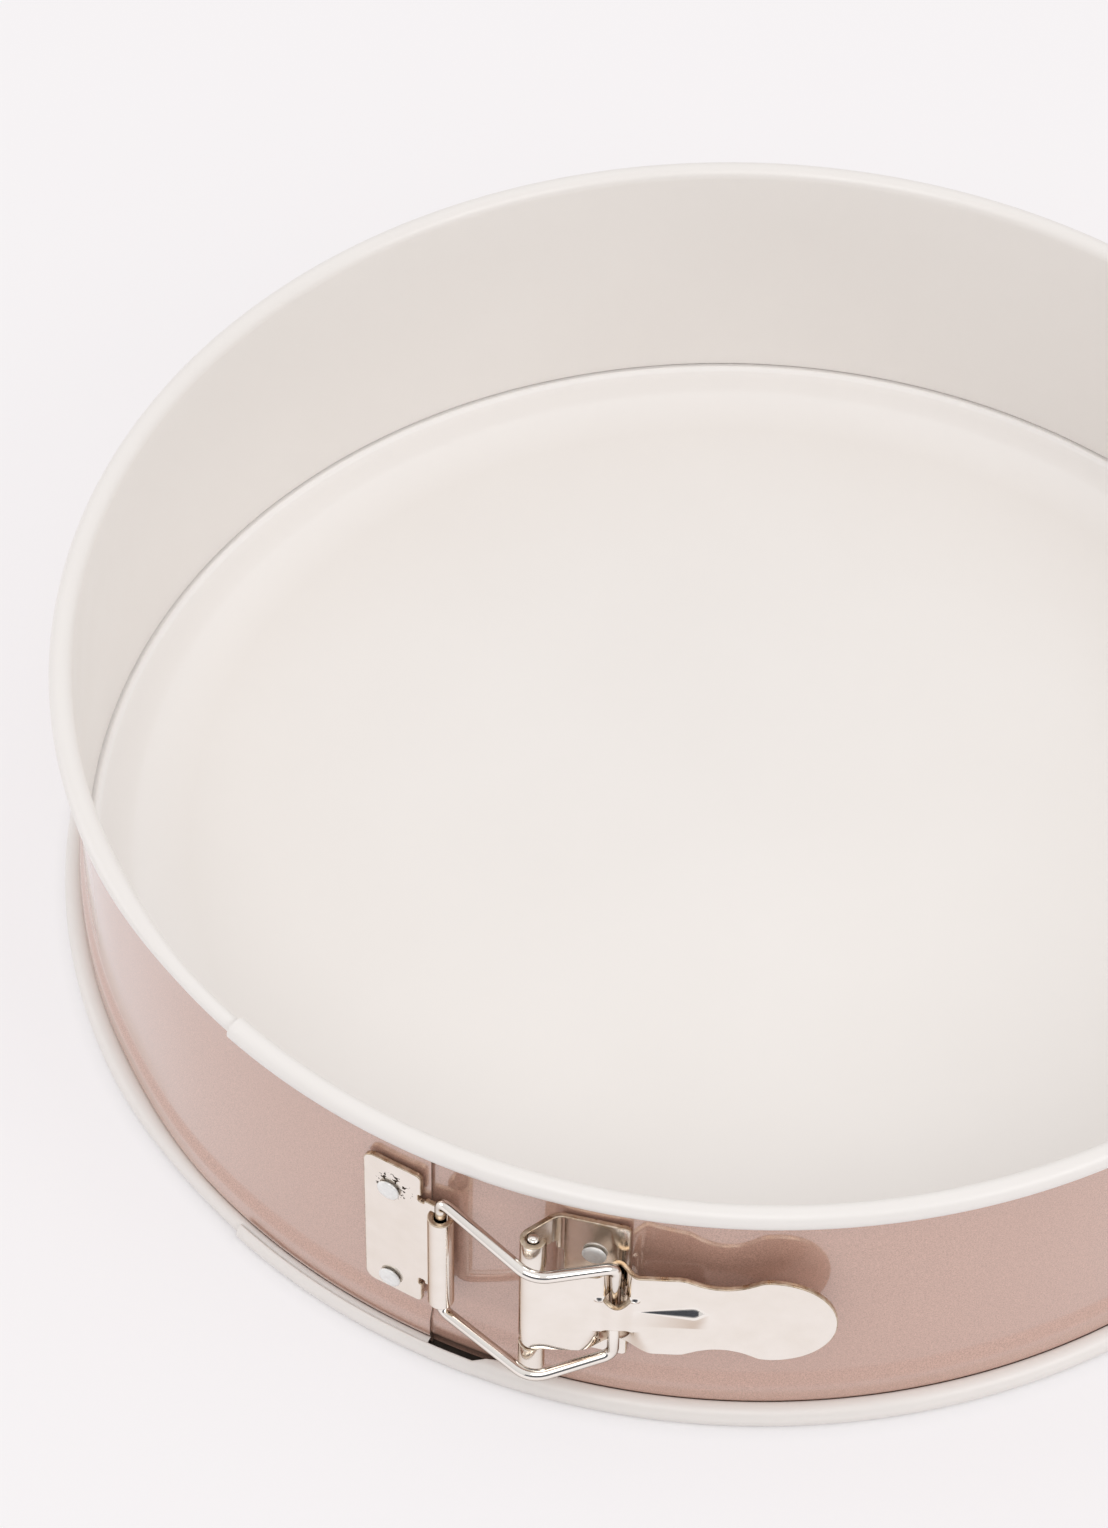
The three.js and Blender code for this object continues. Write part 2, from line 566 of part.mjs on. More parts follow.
// A domed rivet on a plate, whose other end is flush in the band's sheet.
function makeRivet({ name, deg, t, wall, height }) {
  const seat = wall + LATCH_SHEET + 2 * SEAT_GAP;
  const tip = wall - BAND_SHEET + LAYER_GAP / 4;
  const profile = [
    [0, tip],
    [RIVET_SHANK_RADIUS, tip],
    [RIVET_SHANK_RADIUS, seat],
    [RIVET_HEAD_RADIUS, seat],
    [RIVET_HEAD_RADIUS * 0.92, seat + RIVET_HEAD_HEIGHT * 0.45],
    [RIVET_HEAD_RADIUS * 0.6, seat + RIVET_HEAD_HEIGHT * 0.9],
    [0, seat + RIVET_HEAD_HEIGHT],
  ].map(([radius, reach]) => new THREE.Vector2(radius, reach));
  const rivet = new THREE.LatheGeometry(profile, RIVET_SEGMENTS).rotateX(Math.PI);
  const mesh = piece(name, geometryOf(solid(rivet)), ALUMINIUM);
  const place = new THREE.Group();
  place.rotation.z = radians(deg);
  mesh.position.set(t, 0, height);
  place.add(mesh);
  return place;
}

function turned(mesh, deg) {
  const place = new THREE.Group();
  place.rotation.z = radians(deg);
  place.add(mesh);
  return place;
}

const pan = new THREE.Group();
pan.position.z = -BASE_UNDERSIDE;
pan.add(
  makeBand(),
  makeBase(),
  turned(makeCatchPlate(), CATCH_DEG),
  turned(makeBracket(), BRACKET_DEG),
  makeLever(),
  makeBail(),
  makePin(),
  ...RIVETS.map(makeRivet),
);

export default pan;
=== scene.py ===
"""Looks of the springform pan: finer shapes in place of its solids, coatings, floor, light and camera."""

import math

import bmesh
import bpy
from mathutils import Matrix, Vector


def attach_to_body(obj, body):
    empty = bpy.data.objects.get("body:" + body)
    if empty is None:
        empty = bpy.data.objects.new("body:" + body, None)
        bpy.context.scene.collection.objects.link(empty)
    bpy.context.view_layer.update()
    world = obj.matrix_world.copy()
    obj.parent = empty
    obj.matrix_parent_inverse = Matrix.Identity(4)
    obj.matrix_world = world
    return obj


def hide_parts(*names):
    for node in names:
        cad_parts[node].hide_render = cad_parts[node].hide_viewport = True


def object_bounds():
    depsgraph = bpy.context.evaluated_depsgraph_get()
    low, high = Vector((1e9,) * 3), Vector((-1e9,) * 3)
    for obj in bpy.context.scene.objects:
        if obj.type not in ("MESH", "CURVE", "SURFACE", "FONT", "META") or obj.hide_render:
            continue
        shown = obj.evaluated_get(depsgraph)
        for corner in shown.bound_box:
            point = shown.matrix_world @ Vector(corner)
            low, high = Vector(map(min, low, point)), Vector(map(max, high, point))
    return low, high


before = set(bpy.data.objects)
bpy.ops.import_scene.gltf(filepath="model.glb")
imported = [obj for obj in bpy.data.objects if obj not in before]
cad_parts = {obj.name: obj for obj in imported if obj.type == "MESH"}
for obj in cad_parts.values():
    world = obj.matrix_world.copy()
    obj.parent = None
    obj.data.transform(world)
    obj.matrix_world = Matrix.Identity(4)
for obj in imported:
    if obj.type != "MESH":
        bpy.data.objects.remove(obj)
cad_low, cad_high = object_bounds()

# Sizes in millimetres. Heights are above the table, and the latch faces -Y.

MM = 0.001
TABLE = cad_low.z

# Band: the wall, its two curled edges, the groove outside and the ledge for the base inside.
WALL_RADIUS = 130.0
BAND_SHEET = 0.5
PAN_HEIGHT = 66.0
RIM_CURL_RADIUS = 2.2
FOOT_CURL_RADIUS = 2.4
GROOVE_TOP = 13.4
GROOVE_EASE = 4.0
GROOVE_FOOT = 2.6
GROOVE_RETURN = 3.0
GROOVE_DEPTH = 1.0
LEDGE_TOP = 10.25
LEDGE_EASE = 0.4
WALL_MARGIN = 0.4

# How far round the curls are rolled, in degrees: on the right and round the back, in the slot under the
# latch, at the slot's step, inside the other end's curls, and drawn tight on the left.
CLOSED_SWEEP = 293.0
SLOT_SWEEP = 236.0
STEP_SWEEP = 268.0
SLEEVE_SWEEP = 290.0
TIGHT_SWEEP = 296.5

# Band ends: places round the pan from -Y. The outer end is set out by the joggle, over the inner one.
INNER_END_DEG = -43.7
OUTER_END_DEG = 335.3
SEAM_DEG = 180.0
TIGHT_START_DEG = 190.0
TIGHT_END_DEG = 235.0
JOGGLE_START_DEG = 296.3
JOGGLE_END_DEG = 311.3
SLOT_STEP_DEG = -20.3
SLOT_EASE_DEG = 0.3
SLOT_SHUT_DEG = -17.9
LAYER_SHIFT = 0.75
OUTER_WALL_RADIUS = 130.9

# Base: a flat plateau, a slope down to the flange and a bead near the edge.
BASE_EDGE_RADIUS = 130.1
BASE_PLATEAU_RADIUS = 120.3
BASE_STEP_RADIUS = 126.2
BASE_STEP_EASE = 2.2
BASE_DISH = 0.25
BASE_DISH_REACH = 11.0
BASE_SHEET = 0.9
FLANGE_UNDERSIDE = 8.975
PLATEAU_RISE = 0.8
BEAD_RADIUS = 128.45
BEAD_HALF_WIDTH = 1.2
BEAD_HEIGHT = 0.4

# Latch: sheet, wire, pin and rolls.
LATCH_HEIGHT = 36.5
LATCH_SHEET = 1.0
SHEET_EDGE = 0.2
WIRE_RADIUS = 1.1
PIN_RADIUS = 1.1
ROLL_RADIUS = 1.9
SEAT_GAP = 0.3

# Lever: a knuckle on the pin, a lanced loop and a waisted handle.
LEVER_MID_Y = -134.5
PIVOT = Vector((-35.9, -132.6))
LOOP = Vector((-21.2, -133.6))
LEVER_HALF_HEIGHT = 11.6
LEVER_CORNER = 3.0
LEVER_WRAP_DEG = 285.0
CHANNEL_X = -20.8
CHANNEL_DEPTH = 3.2
CHANNEL_TOP_MOUTH = 2.9
CHANNEL_TOP_FLARE = 3.8
CHANNEL_FOOT_MOUTH = 4.4
CHANNEL_FOOT_FLARE = 7.0
STRAP_HALF_HEIGHT = 4.9
STRAP_WAIST = 1.5
STRAP_BULGE = 1.0
SLIT_WIDTH = 0.4
SLIT_HALF_LENGTH = 2.3
PIP_REACH = 3.2
PIP_V = 4.9
PIP_RADIUS = 0.95
PIP_HEIGHT = 0.52
HANDLE_END_X = 18.6
LOBE_RADIUS = 12.0
WAIST_X = -1.9
WAIST_HALF_LENGTH = 6.8
WAIST_DEPTH = 2.3
BOSS_CREST = 1.5
BOSS_FOOT = -3.0
BOSS_START_X = -18.0
BOSS_PEAK_X = -7.2
BOSS_END_X = -4.0
BOSS_FLANK = 2.5
BOSS_SLOPE = 0.52

# Bracket: riveted to the wall, with two ears curled round the pin.
BRACKET_DEG = -11.492
BRACKET_RIGHT = 7.5
BRACKET_WIDTH = 13.5
BRACKET_HALF_HEIGHT = 19.5
BRACKET_CORNER = 1.0
BRACKET_BEND = 1.6
EAR_WRAP_DEG = 245.0
EAR_INNER_HALF = 12.1
WINDOW_REACH = 1.5
WINDOW_HALF_HEIGHT = 9.9
PIN_HALF_LENGTH = 19.8
BRACKET_RIVET_T = 1.1
BRACKET_RIVET_OFFSET = 10.4

# Catch plate: riveted to the band's outer end, with a tongue rolled round the bail's leg.
CATCH_DEG = -27.85
CATCH_HALF_WIDTH = 6.0
CATCH_HALF_HEIGHT = 19.3
CATCH_HEIGHT = 35.1
CATCH_CORNER = 2.2
CATCH_HINGE_T = 10.95
CATCH_WRAP_DEG = 285.0
TONGUE_HALF_HEIGHT = 12.9
NOTCH_WIDTH = 1.2
NOTCH_DEPTH = 1.8
CATCH_RIVET_T = -0.6
CATCH_RIVET_HEIGHT = 33.0
CATCH_RIVET_OFFSET = 13.6

# Bail: one bent wire from the catch plate's roll to the lever's loop, bowed out round the pin.
BAIL_HEIGHT = 36.0
BAIL_LEG_HALF = 16.8
BAIL_BOW = Vector((-35.8, -138.35))
BAIL_BOW_HALF = 15.6
BAIL_ARM_HALF = 13.4
BAIL_END_GAP = 1.2
BAIL_LEG_BEND = 2.4
BAIL_BOW_BEND = 3.4
BAIL_ARM_BEND = 2.0

# Rivets.
RIVET_HEAD_RADIUS = 2.25
RIVET_HEAD_HEIGHT = 0.9
RIVET_SHANK_RADIUS = 1.5
RIVET_TIP_GAP = 0.1

# Worked-out places.
BAND_INNER_RADIUS = WALL_RADIUS - BAND_SHEET
CATCH_MID_Y = -(OUTER_WALL_RADIUS + SEAT_GAP + LATCH_SHEET / 2)
BRACKET_MID_Y = -(WALL_RADIUS + SEAT_GAP + LATCH_SHEET / 2)

# Edges are sharp where they turn more than these degrees, on sheet and on round pieces.
SHEET_CREASE = 50
ROUND_CREASE = 60

# How strongly the large faces of a plate keep their own shading.
FLAT_FACE_WEIGHT = 100


# Helpers for shapes.

def smooth(value, low, high):
    t = min(1.0, max(0.0, (value - low) / (high - low)))
    return t * t * (3 - 2 * t)


def steps(start, end, size):
    """Numbers from start to end, about a size apart."""
    count = round((end - start) / size)
    return [start + (end - start) * i / count for i in range(count + 1)]


def arc(centre, radius, start, sweep, count):
    """Points on a circle arc, in degrees."""
    points = []
    for i in range(count + 1):
        angle = math.radians(start + sweep * i / count)
        points.append(Vector((centre[0] + radius * math.cos(angle), centre[1] + radius * math.sin(angle))))
    return points


def bezier(a, b, c, count):
    """Points on a quadratic curve from a to c, drawn towards b."""
    places = [i / count for i in range(count + 1)]
    return [a * (1 - t) ** 2 + b * (2 * t * (1 - t)) + c * t * t for t in places]


def turn(point, degrees):
    angle = math.radians(degrees)
    x, y = point
    return Vector((x * math.cos(angle) - y * math.sin(angle), x * math.sin(angle) + y * math.cos(angle)))


def to_frame(x, y, height):
    return Vector((x * MM, y * MM, TABLE + height * MM))


def new_object(name, bm, looks, crease_deg):
    """A finished piece from a mesh whose vertices are in millimetres and heights above the table. Its edges
    are sharp where they turn more than the crease and where two looks meet."""
    for vert in bm.verts:
        vert.co = to_frame(*vert.co)
    bmesh.ops.recalc_face_normals(bm, faces=bm.faces[:])
    for face in bm.faces:
        face.smooth = True
    for edge in bm.edges:
        one, other = edge.link_faces
        same_look = one.material_index == other.material_index
        edge.smooth = same_look and one.normal.angle(other.normal, 0) < math.radians(crease_deg)
    mesh = bpy.data.meshes.new(name)
    bm.to_mesh(mesh)
    bm.free()
    for look in looks:
        mesh.materials.append(look)
    piece = bpy.data.objects.new(name, mesh)
    bpy.context.scene.collection.objects.link(piece)
    return piece


def even_shading(piece):
    """Keeps the large faces of a plate flat, so that only its rounded edges turn the light."""
    modifier = piece.modifiers.new("even_shading", "WEIGHTED_NORMAL")
    modifier.mode = "FACE_AREA"
    modifier.weight = FLAT_FACE_WEIGHT
    modifier.keep_sharp = True


def attach(piece, body, node):
    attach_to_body(piece, body)
    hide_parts(node)


# Band: one section swept round the pan, in two halves that meet at the back.

RIM_STEPS = 26
GROOVE_STEPS = 32
WALL_STEPS = 4
LIP_STEPS = 4

# Steps of a curl next to the wall that show the lacquer. Further round, the curl's inside and half its lip
# are painted near-black as shade.
CURL_SHOWN = 2

# Places of the band's looks in its list of materials.
CERAMIC, LACQUER, CUT, PAINTED_SHADE = range(4)


def band_face(depth, shift, sweep):
    """Radius and height down one face of the band's sheet, from the rim's lip to the foot's lip."""
    rim_centre = (BAND_INNER_RADIUS + RIM_CURL_RADIUS, PAN_HEIGHT - RIM_CURL_RADIUS)
    foot_centre = (BAND_INNER_RADIUS + FOOT_CURL_RADIUS, FOOT_CURL_RADIUS)
    rim = arc(rim_centre, RIM_CURL_RADIUS - shift - depth, 180 - sweep, sweep, RIM_STEPS)
    foot = arc(foot_centre, FOOT_CURL_RADIUS - shift - depth, 180, sweep, RIM_STEPS)
    inner = BAND_INNER_RADIUS + shift + depth
    top, ease = (GROOVE_TOP, GROOVE_EASE) if depth else (LEDGE_TOP, LEDGE_EASE)
    wall_foot = top + WALL_MARGIN
    fall = wall_foot - rim_centre[1]
    wall = [Vector((inner, rim_centre[1] + fall * i / WALL_STEPS)) for i in range(1, WALL_STEPS + 1)]
    groove = []
    for i in range(GROOVE_STEPS + 1):
        height = top + (GROOVE_FOOT - top) * i / GROOVE_STEPS
        swell = smooth(height, GROOVE_FOOT, GROOVE_FOOT + GROOVE_RETURN)
        swell *= 1 - smooth(height, top - ease, top)
        groove.append(Vector((inner + GROOVE_DEPTH * swell, height)))
    return rim + wall + groove + foot


def lip(start, end, ahead):
    """Points of a half-round edge between the two faces of the sheet."""
    middle = (start + end) / 2
    radius = (end - start).length / 2
    across = (start - middle).normalized()
    points = []
    for i in range(1, LIP_STEPS):
        angle = math.pi * i / LIP_STEPS
        points.append(middle + across * (radius * math.cos(angle)) + ahead * (radius * math.sin(angle)))
    return points


def band_section(azimuth):
    """The closed loop of the section at an azimuth, and the look of each of its sides."""
    joggle = smooth(azimuth, JOGGLE_START_DEG, JOGGLE_END_DEG)
    shift = LAYER_SHIFT * joggle
    ease = smooth(azimuth, SLOT_STEP_DEG + SLOT_EASE_DEG, SLOT_SHUT_DEG)
    step = smooth(azimuth, SLOT_STEP_DEG - SLOT_EASE_DEG, SLOT_STEP_DEG + SLOT_EASE_DEG)
    sweep = SLOT_SWEEP + (STEP_SWEEP - SLOT_SWEEP) * step + (CLOSED_SWEEP - STEP_SWEEP) * ease
    sweep += (TIGHT_SWEEP - CLOSED_SWEEP) * smooth(azimuth, TIGHT_START_DEG, TIGHT_END_DEG)
    sweep += (SLEEVE_SWEEP - TIGHT_SWEEP) * joggle
    inside = band_face(0, shift, sweep)
    outside = band_face(BAND_SHEET, shift, sweep)
    foot_lip = lip(inside[-1], outside[-1], (inside[-1] - inside[-2]).normalized())
    rim_lip = lip(outside[0], inside[0], (inside[0] - inside[1]).normalized())
    loop = inside + foot_lip + outside[::-1] + rim_lip
    covered = RIM_STEPS - CURL_SHOWN
    shown = len(outside) - 1 - 2 * covered
    # Past the steps that show the lacquer, the curl's inside is painted shade.
    outer = [PAINTED_SHADE] * covered + [LACQUER] * shown + [PAINTED_SHADE] * covered
    coated = LIP_STEPS // 2
    lip_sides = [CERAMIC] * coated + [PAINTED_SHADE] * (LIP_STEPS - coated)
    sides = [CERAMIC] * (len(inside) - 1) + lip_sides + outer + lip_sides[::-1]
    return loop, sides, len(inside)


def band_half(name, azimuths, looks):
    """The sections at the azimuths joined into a closed mesh."""
    bm = bmesh.new()
    rings = []
    for azimuth in azimuths:
        loop, sides, count = band_section(azimuth)
        angle = math.radians(azimuth)
        rings.append([bm.verts.new((r * math.sin(angle), -r * math.cos(angle), h)) for r, h in loop])
    for ring, after in zip(rings, rings[1:]):
        for j, side in enumerate(sides):
            k = (j + 1) % len(ring)
            bm.faces.new((ring[j], ring[k], after[k], after[j])).material_index = side
    for ring in (rings[0], rings[-1]):
        inside = ring[:count]
        foot_lip = ring[count:count + LIP_STEPS - 1]
        outside = ring[count + LIP_STEPS - 1:2 * count + LIP_STEPS - 1][::-1]
        rim_lip = ring[2 * count + LIP_STEPS - 1:]
        caps = [(inside[i], inside[i + 1], outside[i + 1], outside[i]) for i in range(count - 1)]
        caps += [(inside[-1], *foot_lip, outside[-1]), (outside[0], *rim_lip, inside[0])]
        for cap in caps:
            bm.faces.new(cap).material_index = CUT
    return new_object(name, bm, looks, SHEET_CREASE)


# Turned and swept pieces.

def lathe(profile, segments, place):
    """A closed mesh from radius and reach pairs whose first and last points are on the axis. Place maps a
    radius, an angle and a reach to a point."""
    bm = bmesh.new()
    turns = [2 * math.pi * i / segments for i in range(segments)]
    rings = []
    for radius, reach in profile:
        angles = turns if radius else [0]
        rings.append([bm.verts.new(place(radius, angle, reach)) for angle in angles])
    for ring, after in zip(rings, rings[1:]):
        for i in range(segments):
            k = (i + 1) % segments
            corners = [ring[i % len(ring)], ring[k % len(ring)]]
            corners += [after[k % len(after)], after[i % len(after)]]
            bm.faces.new(list(dict.fromkeys(corners)))
    return bm


TUBE_SIDES = 24
DOME_HEIGHT = 0.25
DOME_STEPS_DEG = (15, 35, 60)
DOME_FULLNESS = 0.6


def tube(points, radius):
    """A round bar along a line of points, with rounded ends."""
    bm = bmesh.new()
    tangents = []
    for i in range(len(points)):
        before, after = points[max(i - 1, 0)], points[min(i + 1, len(points) - 1)]
        tangents.append((after - before).normalized())
    across = tangents[0].orthogonal().normalized()
    turns = [2 * math.pi * i / TUBE_SIDES for i in range(TUBE_SIDES)]
    dome = [math.radians(degrees) for degrees in DOME_STEPS_DEG]

    def ring(centre, tangent, size):
        other = tangent.cross(across)
        verts = []
        for angle in turns:
            point = centre + across * (size * math.cos(angle)) + other * (size * math.sin(angle))
            verts.append(bm.verts.new(point))
        return verts

    def dome_ring(end, way, angle):
        """A smaller ring past one end of the bar."""
        centre = points[end] + tangents[end] * (way * DOME_HEIGHT * math.cos(angle))
        return ring(centre, tangents[end], radius * math.sin(angle) ** DOME_FULLNESS)

    rings = [dome_ring(0, -1, angle) for angle in dome]
    for point, tangent in zip(points, tangents):
        across = (across - tangent * across.dot(tangent)).normalized()
        rings.append(ring(point, tangent, radius))
    rings += [dome_ring(-1, 1, angle) for angle in reversed(dome)]
    for one, after in zip(rings, rings[1:]):
        for i in range(TUBE_SIDES):
            k = (i + 1) % TUBE_SIDES
            bm.faces.new((one[i], one[k], after[k], after[i]))
    bm.faces.new(rings[0])
    bm.faces.new(rings[-1])
    return bm


# Bent sheet: a flat pattern with rounded edges, cut across at the bends, then laid along a path.

MITRE_LIMIT = 0.5
EDGE_RESOLUTION = 2
WELD_DISTANCE = 1e-4
CUT_DISTANCE = 1e-5
FLAT_NORMAL = 0.99
CORNER_STEPS = 6
HOLE_STEPS = 20
BEND_STEPS = 8
ROLL_STEP_DEG = 9.0


class Path:
    """A line of points in plan that sheet follows, measured along its length."""

    def __init__(self, points):
        self.points = [Vector(p) for p in points]
        self.marks = [0.0]
        for a, b in zip(self.points, self.points[1:]):
            self.marks.append(self.marks[-1] + (b - a).length)
        self.length = self.marks[-1]
        self.sides = []
        for i in range(len(self.points)):
            before = self.points[max(i - 1, 0)]
            after = self.points[min(i + 1, len(self.points) - 1)]
            here = self.points[i]
            arriving = (here - before).normalized() if i else (after - here).normalized()
            leaving = (after - here).normalized() if after != here else arriving
            along = (arriving + leaving).normalized()
            reach = 1 / max(along.dot(arriving), MITRE_LIMIT)
            self.sides.append(Vector((-along.y, along.x)) * reach)

    def at(self, distance, off):
        """The point at a distance along the path, set off to its left."""
        i = 0
        while i < len(self.marks) - 2 and distance > self.marks[i + 1]:
            i += 1
        span = self.marks[i + 1] - self.marks[i]
        t = (distance - self.marks[i]) / span
        side = self.sides[i].lerp(self.sides[i + 1], min(1.0, max(0.0, t)))
        return self.points[i].lerp(self.points[i + 1], t) + side * off


def flat_pattern(loops):
    """Flat sheet with rounded edges. The first loop is its outline, and the others are holes in it. Its
    faces take the first look, and its edges the second."""
    curve = bpy.data.curves.new("pattern", "CURVE")
    curve.dimensions = "2D"
    curve.fill_mode = "BOTH"
    curve.extrude = LATCH_SHEET / 2 - SHEET_EDGE
    curve.bevel_depth = SHEET_EDGE
    curve.bevel_resolution = EDGE_RESOLUTION
    curve.offset = -SHEET_EDGE
    for loop in loops:
        spline = curve.splines.new("POLY")
        spline.points.add(len(loop) - 1)
        for point, (u, v) in zip(spline.points, loop):
            point.co = (u, v, 0, 1)
        spline.use_cyclic_u = True
    holder = bpy.data.objects.new("pattern", curve)
    bpy.context.scene.collection.objects.link(holder)
    ready = holder.evaluated_get(bpy.context.evaluated_depsgraph_get())
    mesh = bpy.data.meshes.new_from_object(ready)
    bm = bmesh.new()
    bm.from_mesh(mesh)
    bpy.data.objects.remove(holder)
    bpy.data.curves.remove(curve)
    bpy.data.meshes.remove(mesh)
    bmesh.ops.remove_doubles(bm, verts=bm.verts[:], dist=WELD_DISTANCE)
    bmesh.ops.recalc_face_normals(bm, faces=bm.faces[:])
    for face in bm.faces:
        face.material_index = 0 if abs(face.normal.z) > FLAT_NORMAL else 1
    return bm


def cut_across(bm, axis, places):
    """Adds an edge loop at each place along an axis."""
    normal = Vector((1, 0, 0)) if axis == 0 else Vector((0, 1, 0))
    for place in places:
        whole = bm.verts[:] + bm.edges[:] + bm.faces[:]
        bmesh.ops.bisect_plane(bm, geom=whole, plane_co=normal * place, plane_no=normal, dist=CUT_DISTANCE)


def bend(bm, mapping):
    for vert in bm.verts:
        vert.co = mapping(*vert.co)


def rounded(points, radii):
    """A closed polygon with each corner drawn as a curve of its own size."""
    loop = []
    for i, (point, radius) in enumerate(zip(points, radii)):
        here = Vector(point)
        if radius == 0:
            loop.append(here)
            continue
        before, after = Vector(points[i - 1]), Vector(points[(i + 1) % len(points)])
        start = here + (before - here).normalized() * radius
        end = here + (after - here).normalized() * radius
        centre_way = (before - here).normalized() + (after - here).normalized()
        centre = here + centre_way * radius
        for k in range(CORNER_STEPS + 1):
            flat = start.lerp(end, k / CORNER_STEPS)
            out = (flat - centre).normalized() if (flat - centre).length else Vector((0, 0))
            loop.append(centre + out * radius)
    return loop


def mirrored(half, radii):
    """A rounded outline from its lower half."""
    return rounded(half + [(u, -v) for u, v in reversed(half)], radii + radii[::-1])


def rivet_holes(u, places):
    """Round holes for rivets, at one place along the sheet."""
    radius = RIVET_SHANK_RADIUS + SEAT_GAP
    return [arc((u, v), radius, 0, 360, HOLE_STEPS)[:-1] for v in places]


def roll_steps(sweep):
    return math.ceil(abs(sweep) / ROLL_STEP_DEG)


# Colours, in linear light.

IVORY_DEEP = (0.862, 0.822, 0.786)
IVORY_LIGHT = (0.878, 0.84, 0.806)
IVORY_PALE = (0.925, 0.895, 0.87)
FLAKE_DEEP = (0.45, 0.262, 0.199)
FLAKE_LIGHT = (0.685, 0.411, 0.316)
ROSE_CLOUD = (0.525, 0.307, 0.233)
STEEL_DEEP = (0.32, 0.25, 0.2)
STEEL_LIGHT = (0.5, 0.42, 0.36)
# Painted shade: near-black brown for the inside of the band's curls.
CURL_SHADE_DEEP = (0.035, 0.024, 0.018)
CURL_SHADE_LIGHT = (0.06, 0.042, 0.032)
NICKEL_DEEP = (0.93, 0.88, 0.82)
NICKEL_LIGHT = (0.97, 0.925, 0.875)
# Edge tints for the nickel: painted reflections, golden on the plates and dark brown on the wire.
GOLDEN_REFLECTION_TINT = (0.55, 0.42, 0.32)
DARK_REFLECTION_TINT = (0.16, 0.10, 0.06)
SCUFF_DARK = (0.06, 0.055, 0.05)
CUT_DEEP = (0.42, 0.30, 0.19)
CUT_LIGHT = (0.72, 0.62, 0.5)
ALUMINIUM_DEEP = (0.86, 0.855, 0.84)
ALUMINIUM_LIGHT = (0.94, 0.935, 0.92)
PAPER_DEEP = (0.895, 0.88, 0.885)
PAPER_LIGHT = (0.91, 0.895, 0.90)
PAPER_WHITE = (0.94, 0.91, 0.919)
SKY_LOW = (0.66, 0.655, 0.66)
SKY_HIGH = (0.84, 0.835, 0.84)
CARD_DEEP = (0.05, 0.057, 0.072)
CARD_LIGHT = (0.07, 0.078, 0.096)


# Helpers for materials.

def fill(tree, made, inputs):
    """Links or sets inputs of a node."""
    for key, value in inputs.items():
        if isinstance(value, bpy.types.NodeSocket):
            tree.links.new(value, made.inputs[key])
        else:
            made.inputs[key].default_value = value


def node(tree, kind, inputs=None, **settings):
    made = tree.nodes.new(kind)
    for key, value in settings.items():
        setattr(made, key, value)
    fill(tree, made, inputs or {})
    return made


def start_look(name):
    material = bpy.data.materials.new(name)
    material.use_nodes = True
    tree = material.node_tree
    place = node(tree, "ShaderNodeTexCoord").outputs["Object"]
    return material, tree, tree.nodes["Principled BSDF"], place


def maths(tree, operation, *values):
    return node(tree, "ShaderNodeMath", dict(enumerate(values)), operation=operation).outputs["Value"]


def grain(tree, place, size_mm, detail=2.0):
    """Noise whose features are about a size in millimetres."""
    noise = node(tree, "ShaderNodeTexNoise", {"Vector": place, "Scale": 1000.0 / size_mm, "Detail": detail})
    return noise.outputs["Fac"]


def spread(tree, value, low, high, from_low=0.3, from_high=0.7):
    """A value set between two numbers. Unless told otherwise, it comes from noise."""
    inputs = {"Value": value, "From Min": from_low, "From Max": from_high, "To Min": low, "To Max": high}
    return node(tree, "ShaderNodeMapRange", inputs).outputs["Result"]


def mix_colour(tree, factor, a, b):
    mixed = node(tree, "ShaderNodeMix", {"Factor": factor}, data_type="RGBA")
    colours = [s for s in mixed.inputs if s.type == "RGBA"]
    for socket, value in zip(colours, (a, b)):
        if isinstance(value, bpy.types.NodeSocket):
            tree.links.new(value, socket)
        else:
            socket.default_value = (*value, 1)
    return next(s for s in mixed.outputs if s.type == "RGBA")


def bump(tree, height, strength, distance_mm, normal=None):
    inputs = {"Height": height, "Strength": strength, "Distance": distance_mm * MM}
    if normal is not None:
        inputs["Normal"] = normal
    return node(tree, "ShaderNodeBump", inputs).outputs["Normal"]


# Materials.

def ivory_look(name, pale_from=None, pale_to=None):
    """Ceramic coat. Between two radii in millimetres it turns paler outwards."""
    material, tree, shader, place = start_look(name)
    cloud = grain(tree, place, size_mm=55)
    colour = mix_colour(tree, spread(tree, cloud, 0, 1), IVORY_DEEP, IVORY_LIGHT)
    if pale_from is not None:
        flat = node(tree, "ShaderNodeVectorMath", {0: place, 1: (1, 1, 0)}, operation="MULTIPLY")
        radius = node(tree, "ShaderNodeVectorMath", {0: flat.outputs["Vector"]}, operation="LENGTH")
        pale = spread(tree, radius.outputs["Value"], 0, 1, pale_from * MM, pale_to * MM)
        colour = mix_colour(tree, pale, colour, IVORY_PALE)
    fill(tree, shader, {
        "Base Color": colour,
        "Roughness": spread(tree, grain(tree, place, size_mm=9), 0.30, 0.40),
        "Normal": bump(tree, grain(tree, place, size_mm=0.9), strength=0.12, distance_mm=0.05),
        "IOR": 1.5,
        "Coat Weight": 0.15,
        "Coat Roughness": 0.12,
    })
    return material


def rose_gold_look():
    """Lacquer with fine flakes under a clear coat."""
    material, tree, shader, place = start_look("rose_gold_lacquer")
    flake = grain(tree, place, size_mm=0.24, detail=1.0)
    cloud = grain(tree, place, size_mm=30)
    tinted = mix_colour(tree, spread(tree, flake, 0, 1), FLAKE_DEEP, FLAKE_LIGHT)
    fill(tree, shader, {
        "Base Color": mix_colour(tree, spread(tree, cloud, 0, 0.25), tinted, ROSE_CLOUD),
        "Metallic": 0.2,
        "Roughness": spread(tree, flake, 0.30, 0.42),
        "Normal": bump(tree, flake, strength=0.10, distance_mm=0.02),
        "Coat Weight": 1.0,
        "Coat IOR": 2.03,
        "Coat Roughness": 0.025,
    })
    return material


